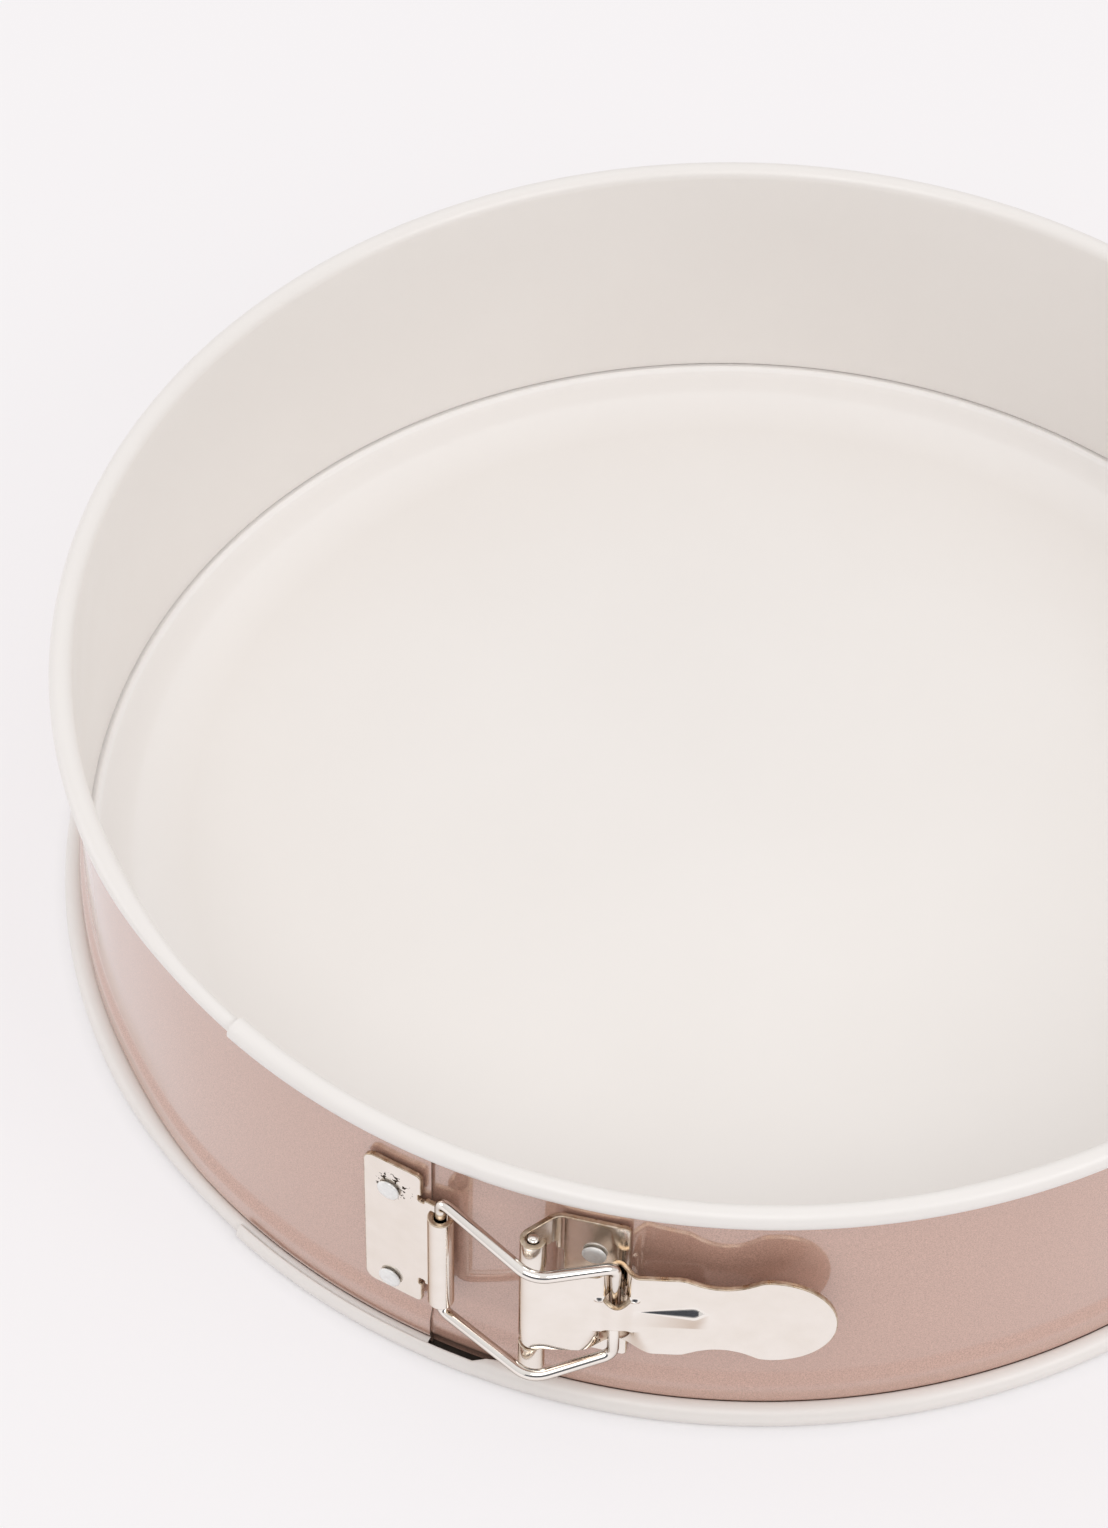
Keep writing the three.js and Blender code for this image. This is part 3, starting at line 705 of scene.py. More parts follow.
def metal_look(name, size_mm, colours, metallic, roughness, grit_mm=None):
    """Metal whose colour and roughness vary together, with grit of a size in millimetres on it."""
    material, tree, shader, place = start_look(name)
    cloud = grain(tree, place, size_mm)
    fill(tree, shader, {
        "Base Color": mix_colour(tree, spread(tree, cloud, 0, 1), *colours),
        "Metallic": metallic,
        "Roughness": spread(tree, cloud, *roughness),
    })
    if grit_mm is not None:
        grit = bump(tree, grain(tree, place, grit_mm), strength=0.1, distance_mm=0.03)
        fill(tree, shader, {"Normal": grit})
    return material


def painted_curl_shade_look():
    """Painted shade inside the curls: a near-black brown that stands in for the shadow in their hollows."""
    material, tree, shader, place = start_look("painted_curl_shade")
    cloud = grain(tree, place, size_mm=2)
    fill(tree, shader, {
        "Base Color": mix_colour(tree, spread(tree, cloud, 0, 1), CURL_SHADE_DEEP, CURL_SHADE_LIGHT),
        "Roughness": spread(tree, grain(tree, place, size_mm=0.8), 0.5, 0.65),
    })
    return material


def nickel_look(name, roughness, edge_reflection_tint, scuff=None):
    """Bright nickel whose roughness lies between two numbers. Where it is seen edge-on its colour turns to
    the tint, a painted golden-brown reflection, and round the place of a scuff it has dark specks."""
    material, tree, shader, place = start_look(name)
    cloud = grain(tree, place, size_mm=6)
    colour = mix_colour(tree, spread(tree, cloud, 0, 1), NICKEL_DEEP, NICKEL_LIGHT)
    if scuff is not None:
        away = node(tree, "ShaderNodeVectorMath", {0: place, 1: scuff}, operation="DISTANCE")
        near = spread(tree, away.outputs["Value"], 1, 0, SCUFF_INNER * MM, SCUFF_OUTER * MM)
        specks = spread(tree, grain(tree, place, size_mm=1.1), 0, 1, 0.56, 0.60)
        dark = spread(tree, maths(tree, "MULTIPLY", near, specks), 0, 1, 0.25, 0.45)
        colour = mix_colour(tree, dark, colour, SCUFF_DARK)
    waves = bump(tree, grain(tree, place, size_mm=5, detail=1.0), strength=0.10, distance_mm=0.2)
    fine = grain(tree, place, size_mm=0.5)
    fill(tree, shader, {
        "Base Color": colour,
        "Metallic": 1.0,
        "Specular Tint": (*edge_reflection_tint, 1),
        "Roughness": spread(tree, grain(tree, place, size_mm=2.2), *roughness),
        "Normal": bump(tree, fine, strength=0.02, distance_mm=0.02, normal=waves),
    })
    return material


# The scuff beside the catch plate's upper rivet: its offset, and where its specks start and end.
SCUFF_SHIFT = 1.0
SCUFF_INNER = 2.3
SCUFF_OUTER = 4.6

# Roughness of the nickel, lowest and highest.
BRIGHT = (0.04, 0.08)
SATIN = (0.12, 0.20)
DRAWN = (0.05, 0.09)

IVORY = ivory_look("ivory_ceramic")
BASE_IVORY = ivory_look("ivory_ceramic_base", BASE_PLATEAU_RADIUS - BASE_DISH_REACH, BASE_PLATEAU_RADIUS)
ROSE_GOLD = rose_gold_look()
BARE_EDGE = metal_look("bare_steel_edge", 0.6, (STEEL_DEEP, STEEL_LIGHT), 0.8, (0.35, 0.5))
CUT_EDGE = metal_look("plated_cut_edge", 1.5, (CUT_DEEP, CUT_LIGHT), 1.0, (0.25, 0.4))
ALUMINIUM = metal_look("dull_aluminium", 0.8, (ALUMINIUM_DEEP, ALUMINIUM_LIGHT), 0.35, (0.32, 0.48), 0.35)
CURL_SHADE_LOOK = painted_curl_shade_look()
# The nickel's edge tints are painted reflections at grazing angles.
NICKEL = nickel_look("bright_nickel", BRIGHT, GOLDEN_REFLECTION_TINT)
SATIN_NICKEL = nickel_look("satin_nickel", SATIN, GOLDEN_REFLECTION_TINT)
WIRE_NICKEL = nickel_look("wire_nickel", DRAWN, DARK_REFLECTION_TINT)

upper_catch_rivet = turn((CATCH_RIVET_T + SCUFF_SHIFT, CATCH_MID_Y - LATCH_SHEET / 2), CATCH_DEG)
SCUFF = to_frame(*upper_catch_rivet, CATCH_RIVET_HEIGHT + CATCH_RIVET_OFFSET + SCUFF_SHIFT)
WORN_NICKEL = nickel_look("scuffed_nickel", BRIGHT, GOLDEN_REFLECTION_TINT, SCUFF)


# Band.

SEAM_STEP_DEG = 0.1


def azimuth_steps(start, end):
    """One degree apart, with a short step at both ends so that the light runs on across the seam."""
    between = [start + i for i in range(1, round(end - start))]
    return [start, start + SEAM_STEP_DEG] + between + [end - SEAM_STEP_DEG, end]


# The band's last look is painted shade for the insides of its curls.
band_looks = [IVORY, ROSE_GOLD, BARE_EDGE, CURL_SHADE_LOOK]
band_right = band_half("band_right_half", azimuth_steps(INNER_END_DEG, SEAM_DEG), band_looks)
attach(band_right, "band", "band")
band_left = band_half("band_left_half", azimuth_steps(SEAM_DEG, OUTER_END_DEG), band_looks)
attach(band_left, "catch", "band")


# Base.

BASE_SEGMENTS = 288
BASE_EDGE_STEPS = 8
UNDERSIDE_NORMAL = -0.3

# Radii of the rings on the flat middle, and their spacing on the dish and from the slope outwards.
FLAT_RADII = [0, 30, 60, 90, 105]
DISH_STEP = 1.0
SLOPE_STEP = 0.2
SLOPE_LEAD = 0.8


def ramp(value, low, high, ease):
    """A straight rise from 0 to 1 with both corners rounded."""
    t, e = (value - low) / (high - low), ease / (high - low)
    if abs(t) < e / 2:
        return (t + e / 2) ** 2 / (2 * e)
    if abs(t - 1) < e / 2:
        return 1 - (1 + e / 2 - t) ** 2 / (2 * e)
    return min(1.0, max(0.0, t))


def base_height(radius):
    """Height above the base's flange: a plateau turned up a little towards its edge, a slope and a bead."""
    dish = BASE_DISH * max(0.0, 1 - (BASE_PLATEAU_RADIUS - radius) / BASE_DISH_REACH) ** 2
    fall = ramp(radius, BASE_PLATEAU_RADIUS, BASE_STEP_RADIUS, BASE_STEP_EASE)
    bead = max(0.0, 1 - abs(radius - BEAD_RADIUS) / BEAD_HALF_WIDTH)
    return (PLATEAU_RISE + min(dish, BASE_DISH)) * (1 - fall) + BEAD_HEIGHT * smooth(bead, 0, 1)


def base_profile():
    """Radius and height from the middle of the underside, round the edge, to the middle of the top."""
    low, high = FLANGE_UNDERSIDE, FLANGE_UNDERSIDE + BASE_SHEET
    edge_round = BASE_SHEET / 2
    edge = arc((BASE_EDGE_RADIUS - edge_round, low + edge_round), edge_round, -90, 180, BASE_EDGE_STEPS)
    outer = BEAD_RADIUS + BEAD_HALF_WIDTH
    dish = steps(BASE_PLATEAU_RADIUS - BASE_DISH_REACH, BASE_PLATEAU_RADIUS - DISH_STEP, DISH_STEP)
    radii = FLAT_RADII + dish + steps(BASE_PLATEAU_RADIUS - SLOPE_LEAD, outer, SLOPE_STEP)[:-1]
    under = [(r, low + base_height(r)) for r in radii]
    over = [(r, high + base_height(r)) for r in reversed(radii)]
    return under + [tuple(p) for p in edge] + over


base_mesh = lathe(base_profile(), BASE_SEGMENTS, lambda r, a, h: (r * math.sin(a), -r * math.cos(a), h))
base_mesh.normal_update()
bmesh.ops.recalc_face_normals(base_mesh, faces=base_mesh.faces[:])
for face in base_mesh.faces:
    face.material_index = 1 if face.normal.z < UNDERSIDE_NORMAL else 0
base_disc = new_object("base_disc", base_mesh, [BASE_IVORY, ROSE_GOLD], ROUND_CREASE)
attach(base_disc, "base", "base")


# Catch plate.

# Sizes of the corners of half its pattern, from the free edge to the tongue's end.
CATCH_CORNERS = [CATCH_CORNER, 1.2, 0.2, 0.3, 0.4, 0.3, 0.25, 0.6]


def make_catch_plate():
    hinge = (CATCH_HINGE_T, CATCH_MID_Y - ROLL_RADIUS)
    roll = arc(hinge, ROLL_RADIUS, 90, -CATCH_WRAP_DEG, roll_steps(CATCH_WRAP_DEG))
    path = Path([(-CATCH_HALF_WIDTH, CATCH_MID_Y), *roll])
    width, end = 2 * CATCH_HALF_WIDTH, path.length
    top, tongue = CATCH_HALF_HEIGHT, TONGUE_HALF_HEIGHT
    left, right = width - NOTCH_WIDTH / 2, width + NOTCH_WIDTH / 2
    low, high = -tongue - NOTCH_DEPTH / 2, -tongue + NOTCH_DEPTH / 2
    half = [
        (0, -top), (width, -top), (width, low), (left, low),
        (left, high), (right, high), (right, -tongue), (end, -tongue),
    ]
    rivet_places = [CATCH_RIVET_HEIGHT - CATCH_HEIGHT + side * CATCH_RIVET_OFFSET for side in (-1, 1)]
    holes = rivet_holes(CATCH_HALF_WIDTH + CATCH_RIVET_T, rivet_places)
    bm = flat_pattern([mirrored(half, CATCH_CORNERS), *holes])
    cut_across(bm, 0, path.marks[1:-1])

    def mapping(u, v, n):
        x, y = turn(path.at(u, n), CATCH_DEG)
        return Vector((x, y, CATCH_HEIGHT + v))

    bend(bm, mapping)
    piece = new_object("catch_plate_sheet", bm, [WORN_NICKEL, CUT_EDGE], SHEET_CREASE)
    even_shading(piece)
    attach(piece, "catch", "catch_plate")


make_catch_plate()


# Bracket.

# Sizes of the corners of half its pattern, from the free edge round the ear to the window.
BRACKET_CORNERS = [BRACKET_CORNER, 0.5, 0.3, 0.6, 0.4, 1.0]


def make_bracket():
    pivot = turn(PIVOT, -BRACKET_DEG)
    corner = Vector((BRACKET_RIGHT - BRACKET_WIDTH, BRACKET_MID_Y))
    to_pivot = pivot - corner
    leg_angle = math.atan2(to_pivot.y, to_pivot.x) - math.asin(ROLL_RADIUS / to_pivot.length)
    leg = Vector((math.cos(leg_angle), math.sin(leg_angle)))
    ear = arc(pivot, ROLL_RADIUS, math.degrees(leg_angle) - 90, EAR_WRAP_DEG, roll_steps(EAR_WRAP_DEG))
    bent = bezier(corner + Vector((BRACKET_BEND, 0)), corner, corner + leg * BRACKET_BEND, BEND_STEPS)
    path = Path([(BRACKET_RIGHT, BRACKET_MID_Y), *bent, *ear])
    top, inner, end = BRACKET_HALF_HEIGHT, EAR_INNER_HALF, path.length
    fold, window = BRACKET_WIDTH, BRACKET_WIDTH - WINDOW_REACH
    half = [
        (0, -top), (end, -top), (end, -inner),
        (fold, -inner), (fold, -WINDOW_HALF_HEIGHT), (window, -WINDOW_HALF_HEIGHT),
    ]
    rivet_places = [side * BRACKET_RIVET_OFFSET for side in (-1, 1)]
    holes = rivet_holes(BRACKET_RIGHT - BRACKET_RIVET_T, rivet_places)
    bm = flat_pattern([mirrored(half, BRACKET_CORNERS), *holes])
    cut_across(bm, 0, path.marks[1:-1])

    def mapping(u, v, n):
        x, y = turn(path.at(u, n), BRACKET_DEG)
        return Vector((x, y, LATCH_HEIGHT + v))

    bend(bm, mapping)
    piece = new_object("bracket_sheet", bm, [SATIN_NICKEL, CUT_EDGE], SHEET_CREASE)
    even_shading(piece)
    attach(piece, "band", "bracket")


make_bracket()


# Lever. Its knuckle, handle and slits are drawn in these numbers of steps.

KNUCKLE_CORNER_STEPS = 12
STRAIGHT_STEPS = 24
WAIST_STEPS = 20
LOBE_STEPS = 60
SLIT_STEPS = 24
SLIT_END_STEPS = 6

# The rounding at the end of the roll, and where the straight edge starts past the pin.
KNUCKLE_TIP_ROUND = 0.4
STRAIGHT_LEAD = 0.7

# Points of the outline that are softened before and after the waist.
SOFTENED_BEFORE = 12
SOFTENED_AFTER = 10

# Spacing of the mesh lines that let the sheet bend, along the lever and up it. The outer rows are given by
# their ends and spacing.
PRESS_STEP = 0.2
BOSS_STEP = 0.3
FLANK_STEP = 0.15
CREST_ROUND = 0.05
FOOT_ROUND = 0.2
STRAP_MARGIN = 1.1
OUTER_ROWS = (6.4, 11.2, 0.8)
LOWER_ROWS = (-0.6, -4.9, -5.6)
SLOPE_PROBE = 0.01


def lever_outline():
    """The lever's flat pattern, from the end of its roll to the handle's round end and back."""
    quarter = ROLL_RADIUS * math.pi / 2
    wrap = ROLL_RADIUS * math.radians(LEVER_WRAP_DEG)
    half = LEVER_HALF_HEIGHT
    low = half - LEVER_CORNER
    reach = ROLL_RADIUS + LATCH_SHEET / 2
    tip = PIVOT.x - wrap
    top = [Vector((tip, low - KNUCKLE_TIP_ROUND)), Vector((tip + KNUCKLE_TIP_ROUND, low))]
    for i in range(KNUCKLE_CORNER_STEPS + 1):
        s = quarter * (1 - i / KNUCKLE_CORNER_STEPS)
        t = math.sqrt(max(0.0, reach * (1 - math.sin(s / ROLL_RADIUS)) / LEVER_CORNER))
        top.append(Vector((PIVOT.x - s, low + LEVER_CORNER * (2 * t - t * t))))
    lobe_x = HANDLE_END_X - LOBE_RADIUS
    waist_start, waist_end = WAIST_X - WAIST_HALF_LENGTH, WAIST_X + WAIST_HALF_LENGTH
    lobe_angle = math.degrees(math.acos((waist_end - lobe_x) / LOBE_RADIUS))
    lobe = arc((lobe_x, 0), LOBE_RADIUS, lobe_angle, -2 * lobe_angle, LOBE_STEPS)
    start = PIVOT.x + STRAIGHT_LEAD
    run = waist_start - start
    top += [Vector((start + run * i / STRAIGHT_STEPS, half)) for i in range(STRAIGHT_STEPS)]
    waist_middle = Vector((WAIST_X, half - 2 * WAIST_DEPTH))
    waist = bezier(Vector((waist_start, half)), waist_middle, lobe[0], WAIST_STEPS)
    first, last = len(top) - SOFTENED_BEFORE, len(top) + len(waist) + SOFTENED_AFTER
    top += waist + lobe[1:LOBE_STEPS // 2 + 1]
    for i in range(first, last):
        top[i] = (top[i - 1] + top[i] * 2 + top[i + 1]) / 4
    return top + [Vector((u, -v)) for u, v in reversed(top[:-1])]


def slit_outline(side):
    """The opening between the strap and the channel."""
    left, right = CHANNEL_X - SLIT_HALF_LENGTH, CHANNEL_X + SLIT_HALF_LENGTH
    near, far = STRAP_HALF_HEIGHT, STRAP_HALF_HEIGHT + SLIT_WIDTH
    waist = Vector((CHANNEL_X, near - 2 * STRAP_WAIST))
    strap_edge = bezier(Vector((left, near)), waist, Vector((right, near)), SLIT_STEPS)
    middle = (near + far) / 2
    right_end = arc((right, middle), SLIT_WIDTH / 2, -90, 180, SLIT_END_STEPS)[1:-1]
    left_end = arc((left, middle), SLIT_WIDTH / 2, 90, 180, SLIT_END_STEPS)[1:-1]
    loop = strap_edge + right_end + [Vector((right, far)), Vector((left, far))] + left_end
    return [Vector((u, v * side)) for u, v in loop]


def channel_depth(u, v):
    """How far the plate is pressed in beside the strap: deep in the middle, and wider towards its edges."""
    outward = (abs(v) - STRAP_HALF_HEIGHT) / (LEVER_HALF_HEIGHT - STRAP_HALF_HEIGHT)
    mouth, flare = CHANNEL_FOOT_MOUTH, CHANNEL_FOOT_FLARE
    if v > 0:
        mouth, flare = CHANNEL_TOP_MOUTH, CHANNEL_TOP_FLARE
    half = mouth + (flare - mouth) * min(1.0, max(0.0, outward))
    return CHANNEL_DEPTH * (1 - smooth(abs(u - CHANNEL_X) / half, 0, 1))


def strap_bulge(u):
    """How far the strap is pressed out over the wire."""
    place = min(1.0, abs(u - CHANNEL_X) / (CHANNEL_TOP_MOUTH + PIP_RADIUS / 2))
    return STRAP_BULGE * (0.5 + 0.5 * math.cos(math.pi * place))


def pip_height(u, v):
    """Small raised marks where the strap's upper edge ends."""
    away = math.hypot(abs(u - CHANNEL_X) - PIP_REACH, v - PIP_V)
    return PIP_HEIGHT * (1 - smooth(away, 0, PIP_RADIUS))


def boss_height(u, v):
    """The stiffening boss: a steep upper flank and a gentle fall to its foot, tapered to both ends."""
    rise = max(0.0, (u - BOSS_START_X) / (BOSS_PEAK_X - BOSS_START_X))
    fall = smooth(BOSS_END_X - u, 0, BOSS_END_X - BOSS_PEAK_X)
    flank = BOSS_FLANK * min(rise, fall, 1.0)
    if flank == 0:
        return 0.0
    if v > BOSS_CREST:
        return BOSS_SLOPE * flank * (1 - smooth(v, BOSS_CREST, BOSS_CREST + flank))
    return BOSS_SLOPE * flank * max(0.0, (v - BOSS_FOOT) / (BOSS_CREST - BOSS_FOOT))


def make_lever():
    wrap = ROLL_RADIUS * math.radians(LEVER_WRAP_DEG)
    knuckle_steps = roll_steps(LEVER_WRAP_DEG)
    marks = [PIVOT.x - wrap * i / knuckle_steps for i in range(knuckle_steps)]
    press_end = CHANNEL_X + CHANNEL_FOOT_FLARE
    marks += steps(CHANNEL_X - CHANNEL_FOOT_FLARE, press_end, PRESS_STEP)
    marks += steps(press_end + BOSS_STEP, BOSS_END_X, BOSS_STEP)
    rows = steps(BOSS_CREST + CREST_ROUND, BOSS_CREST + BOSS_FLANK + FLANK_STEP, FLANK_STEP)
    rows += [BOSS_CREST - CREST_ROUND, BOSS_FOOT + FOOT_ROUND, BOSS_FOOT - FOOT_ROUND, *LOWER_ROWS]
    rows += steps(STRAP_HALF_HEIGHT - STRAP_MARGIN, STRAP_HALF_HEIGHT + STRAP_MARGIN, PRESS_STEP)
    rows += [side * v for side in (-1, 1) for v in steps(*OUTER_ROWS)]
    bm = flat_pattern([lever_outline(), slit_outline(1), slit_outline(-1)])
    cut_across(bm, 0, sorted(marks))
    cut_across(bm, 1, sorted(rows))
    slit_middle = STRAP_HALF_HEIGHT + SLIT_WIDTH / 2

    def offset(u, v):
        """How far the sheet's middle is pressed towards the wall."""
        if abs(v) > slit_middle:
            return channel_depth(u, v) - pip_height(u, v)
        return -strap_bulge(u) - boss_height(u, v) - pip_height(u, v)

    def mapping(u, v, n):
        if u < PIVOT.x:
            angle = -math.pi / 2 - (PIVOT.x - u) / ROLL_RADIUS
            radius = ROLL_RADIUS + n
            x, y = PIVOT.x + radius * math.cos(angle), PIVOT.y + radius * math.sin(angle)
            return Vector((x, y, LATCH_HEIGHT + v))
        slope = (offset(u + SLOPE_PROBE, v) - offset(u - SLOPE_PROBE, v)) / (2 * SLOPE_PROBE)
        run = math.sqrt(1 + slope * slope)
        return Vector((u + n * slope / run, LEVER_MID_Y + offset(u, v) - n / run, LATCH_HEIGHT + v))

    bend(bm, mapping)
    piece = new_object("lever_sheet", bm, [NICKEL, CUT_EDGE], SHEET_CREASE)
    even_shading(piece)
    attach(piece, "lever", "lever")


make_lever()


# Bail.

WIRE_BEND_STEPS = 12


def make_bail():
    hinge = turn((CATCH_HINGE_T, CATCH_MID_Y - ROLL_RADIUS), CATCH_DEG)
    upper = [
        Vector((LOOP.x, LOOP.y, BAIL_END_GAP)),
        Vector((LOOP.x, LOOP.y, BAIL_ARM_HALF)),
        Vector((BAIL_BOW.x, BAIL_BOW.y, BAIL_BOW_HALF)),
        Vector((hinge.x, hinge.y, BAIL_LEG_HALF)),
    ]
    corners = upper + [Vector((x, y, -z)) for x, y, z in reversed(upper)]
    bends = [BAIL_ARM_BEND, BAIL_BOW_BEND, BAIL_LEG_BEND]
    line = [corners[0]]
    for before, here, after, size in zip(corners, corners[1:], corners[2:], bends + bends[::-1]):
        start = here + (before - here).normalized() * size
        end = here + (after - here).normalized() * size
        line += bezier(start, here, end, WIRE_BEND_STEPS)
    line.append(corners[-1])
    bm = tube([p + Vector((0, 0, BAIL_HEIGHT)) for p in line], WIRE_RADIUS)
    piece = new_object("bail_wire", bm, [WIRE_NICKEL], ROUND_CREASE)
    attach(piece, "bail", "bail")


make_bail()


# Pin and rivets.

PIN_SEGMENTS = 28
RIVET_SEGMENTS = 32
PIN_NUB_RISE = 0.25

# The pin's end: shares of its radius, and heights from the shoulder under its nub.
PIN_END = [(1, -0.4), (0.93, -0.15), (0.75, 0), (0.55, 0.02), (0.5, 0.15), (0.35, 0.25), (0, 0.25)]

# The rivet's head: shares of its radius and of its rise, and on its top the heights of a ring and a dimple.
HEAD_UNDERCUT = 0.1
HEAD_CHAMFER = 0.08
HEAD_SIDE = [(1, 0.45), (0.97, 0.62), (0.8, 0.93), (0.7, 1)]
HEAD_TOP = [(0.3, 0.03), (0.24, -0.02), (0.12, -0.08), (0, -0.08)]


def make_pin():
    shoulder = PIN_HALF_LENGTH - PIN_NUB_RISE
    half = [(PIN_RADIUS * share, shoulder + height) for share, height in PIN_END]
    profile = [(r, -h) for r, h in reversed(half)] + half

    def place(radius, angle, reach):
        x, y = PIVOT.x + radius * math.cos(angle), PIVOT.y + radius * math.sin(angle)
        return (x, y, LATCH_HEIGHT + reach)

    piece = new_object("pivot_pin_turned", lathe(profile, PIN_SEGMENTS, place), [NICKEL], ROUND_CREASE)
    attach(piece, "band", "pivot_pin")


def make_rivet(node_name, body, deg, t, wall, height):
    seat = wall + LATCH_SHEET + 2 * SEAT_GAP
    tip = wall - BAND_SHEET + RIVET_TIP_GAP
    head, rise = RIVET_HEAD_RADIUS, RIVET_HEAD_HEIGHT - SEAT_GAP
    profile = [(0, tip), (RIVET_SHANK_RADIUS, tip), (RIVET_SHANK_RADIUS, seat)]
    profile += [(head - HEAD_UNDERCUT, seat), (head, seat + HEAD_CHAMFER)]
    profile += [(head * share, seat + rise * part) for share, part in HEAD_SIDE]
    profile += [(head * share, seat + rise + bulge) for share, bulge in HEAD_TOP]

    def place(radius, angle, reach):
        x, y = turn((t + radius * math.cos(angle), -reach), deg)
        return (x, y, height + radius * math.sin(angle))

    bm = lathe(profile, RIVET_SEGMENTS, place)
    piece = new_object(node_name + "_head", bm, [ALUMINIUM], SHEET_CREASE)
    attach(piece, body, node_name)


make_pin()
for side, label in ((1, "upper"), (-1, "lower")):
    make_rivet("catch_rivet_" + label, "catch", CATCH_DEG, CATCH_RIVET_T, OUTER_WALL_RADIUS,
               CATCH_RIVET_HEIGHT + side * CATCH_RIVET_OFFSET)
    make_rivet("bracket_rivet_" + label, "band", BRACKET_DEG, BRACKET_RIVET_T, WALL_RADIUS,
               LATCH_HEIGHT + side * BRACKET_RIVET_OFFSET)


# Floor: its half width in metres, how much whiter it looks, and how far its contact shade reaches.

FLOOR_HALF = 14.0
FLOOR_SEGMENTS = 8
FLOOR_WHITENING = 0.75
CONTACT_REACH = 3.0


def paper_look():
    """Paper that looks whiter to the camera and in the metal, apart from close under the pan."""
    material, tree, shader, place = start_look("pale_paper")
    cloud = grain(tree, place, size_mm=400)
    fill(tree, shader, {
        "Base Color": mix_colour(tree, spread(tree, cloud, 0, 1), PAPER_DEEP, PAPER_LIGHT),
        "Roughness": 0.9,
        "Specular IOR Level": 0.1,
    })
    rays = node(tree, "ShaderNodeLightPath").outputs
    seen = maths(tree, "MAXIMUM", rays["Is Camera Ray"], rays["Is Glossy Ray"])
    seen = maths(tree, "MAXIMUM", seen, rays["Is Transmission Ray"])
    open_sky = node(tree, "ShaderNodeAmbientOcclusion", {"Distance": CONTACT_REACH * MM}).outputs["AO"]
    white_part = maths(tree, "MULTIPLY", seen, maths(tree, "MULTIPLY", open_sky, FLOOR_WHITENING))
    white = node(tree, "ShaderNodeEmission", {"Color": (*PAPER_WHITE, 1), "Strength": 1.0})
    surfaces = {0: white_part, 1: shader.outputs["BSDF"], 2: white.outputs["Emission"]}
    mixed = node(tree, "ShaderNodeMixShader", surfaces)
    tree.links.new(mixed.outputs["Shader"], tree.nodes["Material Output"].inputs["Surface"])
    return material


floor_mesh = bmesh.new()
bmesh.ops.create_grid(floor_mesh, x_segments=FLOOR_SEGMENTS, y_segments=FLOOR_SEGMENTS, size=FLOOR_HALF)
bmesh.ops.translate(floor_mesh, verts=floor_mesh.verts[:], vec=(0, 0, TABLE))
floor_data = bpy.data.meshes.new("floor")
floor_mesh.to_mesh(floor_data)
floor_mesh.free()
floor = bpy.data.objects.new("floor", floor_data)
bpy.context.scene.collection.objects.link(floor)
floor_data.materials.append(paper_look())


# Light.

scene = bpy.context.scene
scene.view_settings.view_transform = "Standard"

world = bpy.data.worlds.new("studio")
scene.world = world
world.use_nodes = True
sky_tree = world.node_tree
way = node(sky_tree, "ShaderNodeTexCoord").outputs["Generated"]
up = node(sky_tree, "ShaderNodeSeparateXYZ", {"Vector": way}).outputs["Z"]
glow = mix_colour(sky_tree, spread(sky_tree, up, 0, 1, 0, 1), SKY_LOW, SKY_HIGH)
fill(sky_tree, sky_tree.nodes["Background"], {"Color": glow, "Strength": 1.0})


def soft_lamp(name, place, target, size, watts):
    data = bpy.data.lights.new(name, "AREA")
    data.shape = "DISK"
    data.size = size
    data.energy = watts
    lamp = bpy.data.objects.new(name, data)
    scene.collection.objects.link(lamp)
    lamp.location = place
    lamp.rotation_mode = "QUATERNION"
    lamp.rotation_quaternion = (Vector(target) - Vector(place)).to_track_quat("-Z", "Y")


soft_lamp("key", (1.15, -0.95, 1.25), target=(0, 0, 0), size=1.0, watts=6.5)
soft_lamp("fill", (-1.6, 0.2, 0.4), target=(0, 0, 0), size=0.8, watts=2.4)
soft_lamp("front", (-0.25, -1.08, 1.65), target=(0, 0.1, 0), size=1.2, watts=7)

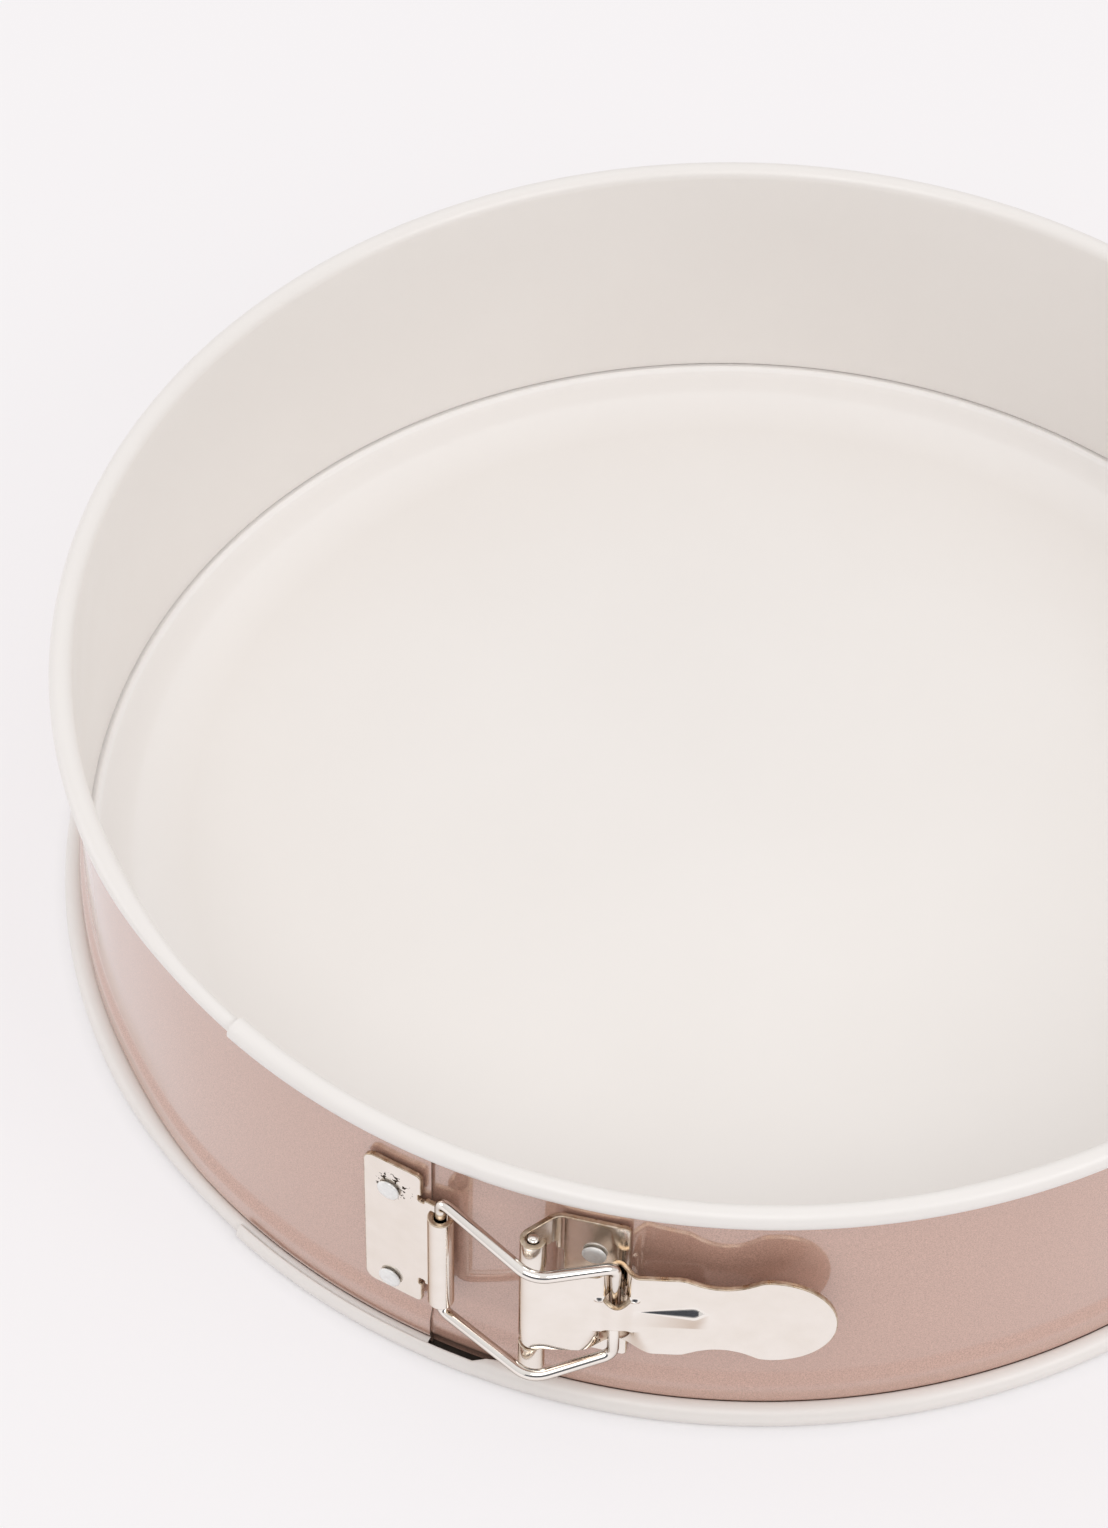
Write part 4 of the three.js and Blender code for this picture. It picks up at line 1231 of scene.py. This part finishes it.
# The front card, in metres.
CARD_Y = -1.1
CARD_HALF = 0.9
CARD_GAP = 0.01
CARD_TOP = 0.78
CARD_SOLID = 0.14


def make_front_card():
    """A dark card out of the picture, for the dark accents in the metal. It fades out up and down."""
    low, high = TABLE + CARD_GAP, CARD_TOP
    corners = [(-CARD_HALF, low), (CARD_HALF, low), (CARD_HALF, high), (-CARD_HALF, high)]
    mesh = bpy.data.meshes.new("front_card")
    mesh.from_pydata([(x, CARD_Y, z) for x, z in corners], [], [(0, 1, 2, 3)])
    card = bpy.data.objects.new("front_card", mesh)
    scene.collection.objects.link(card)
    look, tree, shader, place = start_look("front_card")
    height = node(tree, "ShaderNodeSeparateXYZ", {"Vector": place}).outputs["Z"]
    middle = (low + high) / 2
    away = maths(tree, "ABSOLUTE", maths(tree, "SUBTRACT", height, middle))
    fill(tree, shader, {
        "Base Color": mix_colour(tree, grain(tree, place, size_mm=300), CARD_DEEP, CARD_LIGHT),
        "Roughness": 0.9,
        "Alpha": spread(tree, away, 1, 0, CARD_SOLID, high - middle),
    })
    mesh.materials.append(look)
    card.visible_camera = False


make_front_card()


# Camera: its place and lens in millimetres, its turns in degrees and its clipping in metres.

CAMERA_PLACE = Vector((-19.68, -663.06, 802.32)) * MM
CAMERA_HEADING = 1.551
CAMERA_TILT = 40.23
CAMERA_ROLL = 1.218
SENSOR_HEIGHT = 36
LENS = 123.65
CLIP_START = 0.05
CLIP_END = 50

camera_data = bpy.data.cameras.new("camera")
camera_data.sensor_fit = "VERTICAL"
camera_data.sensor_height = SENSOR_HEIGHT
camera_data.lens = LENS
camera_data.clip_start = CLIP_START
camera_data.clip_end = CLIP_END
camera = bpy.data.objects.new("camera", camera_data)
scene.collection.objects.link(camera)
aim = Matrix.Rotation(math.radians(CAMERA_HEADING), 4, "Z")
aim = aim @ Matrix.Rotation(math.radians(CAMERA_TILT), 4, "X")
aim = aim @ Matrix.Rotation(math.radians(CAMERA_ROLL), 4, "Z")
camera.matrix_world = Matrix.Translation(CAMERA_PLACE) @ aim
scene.camera = camera
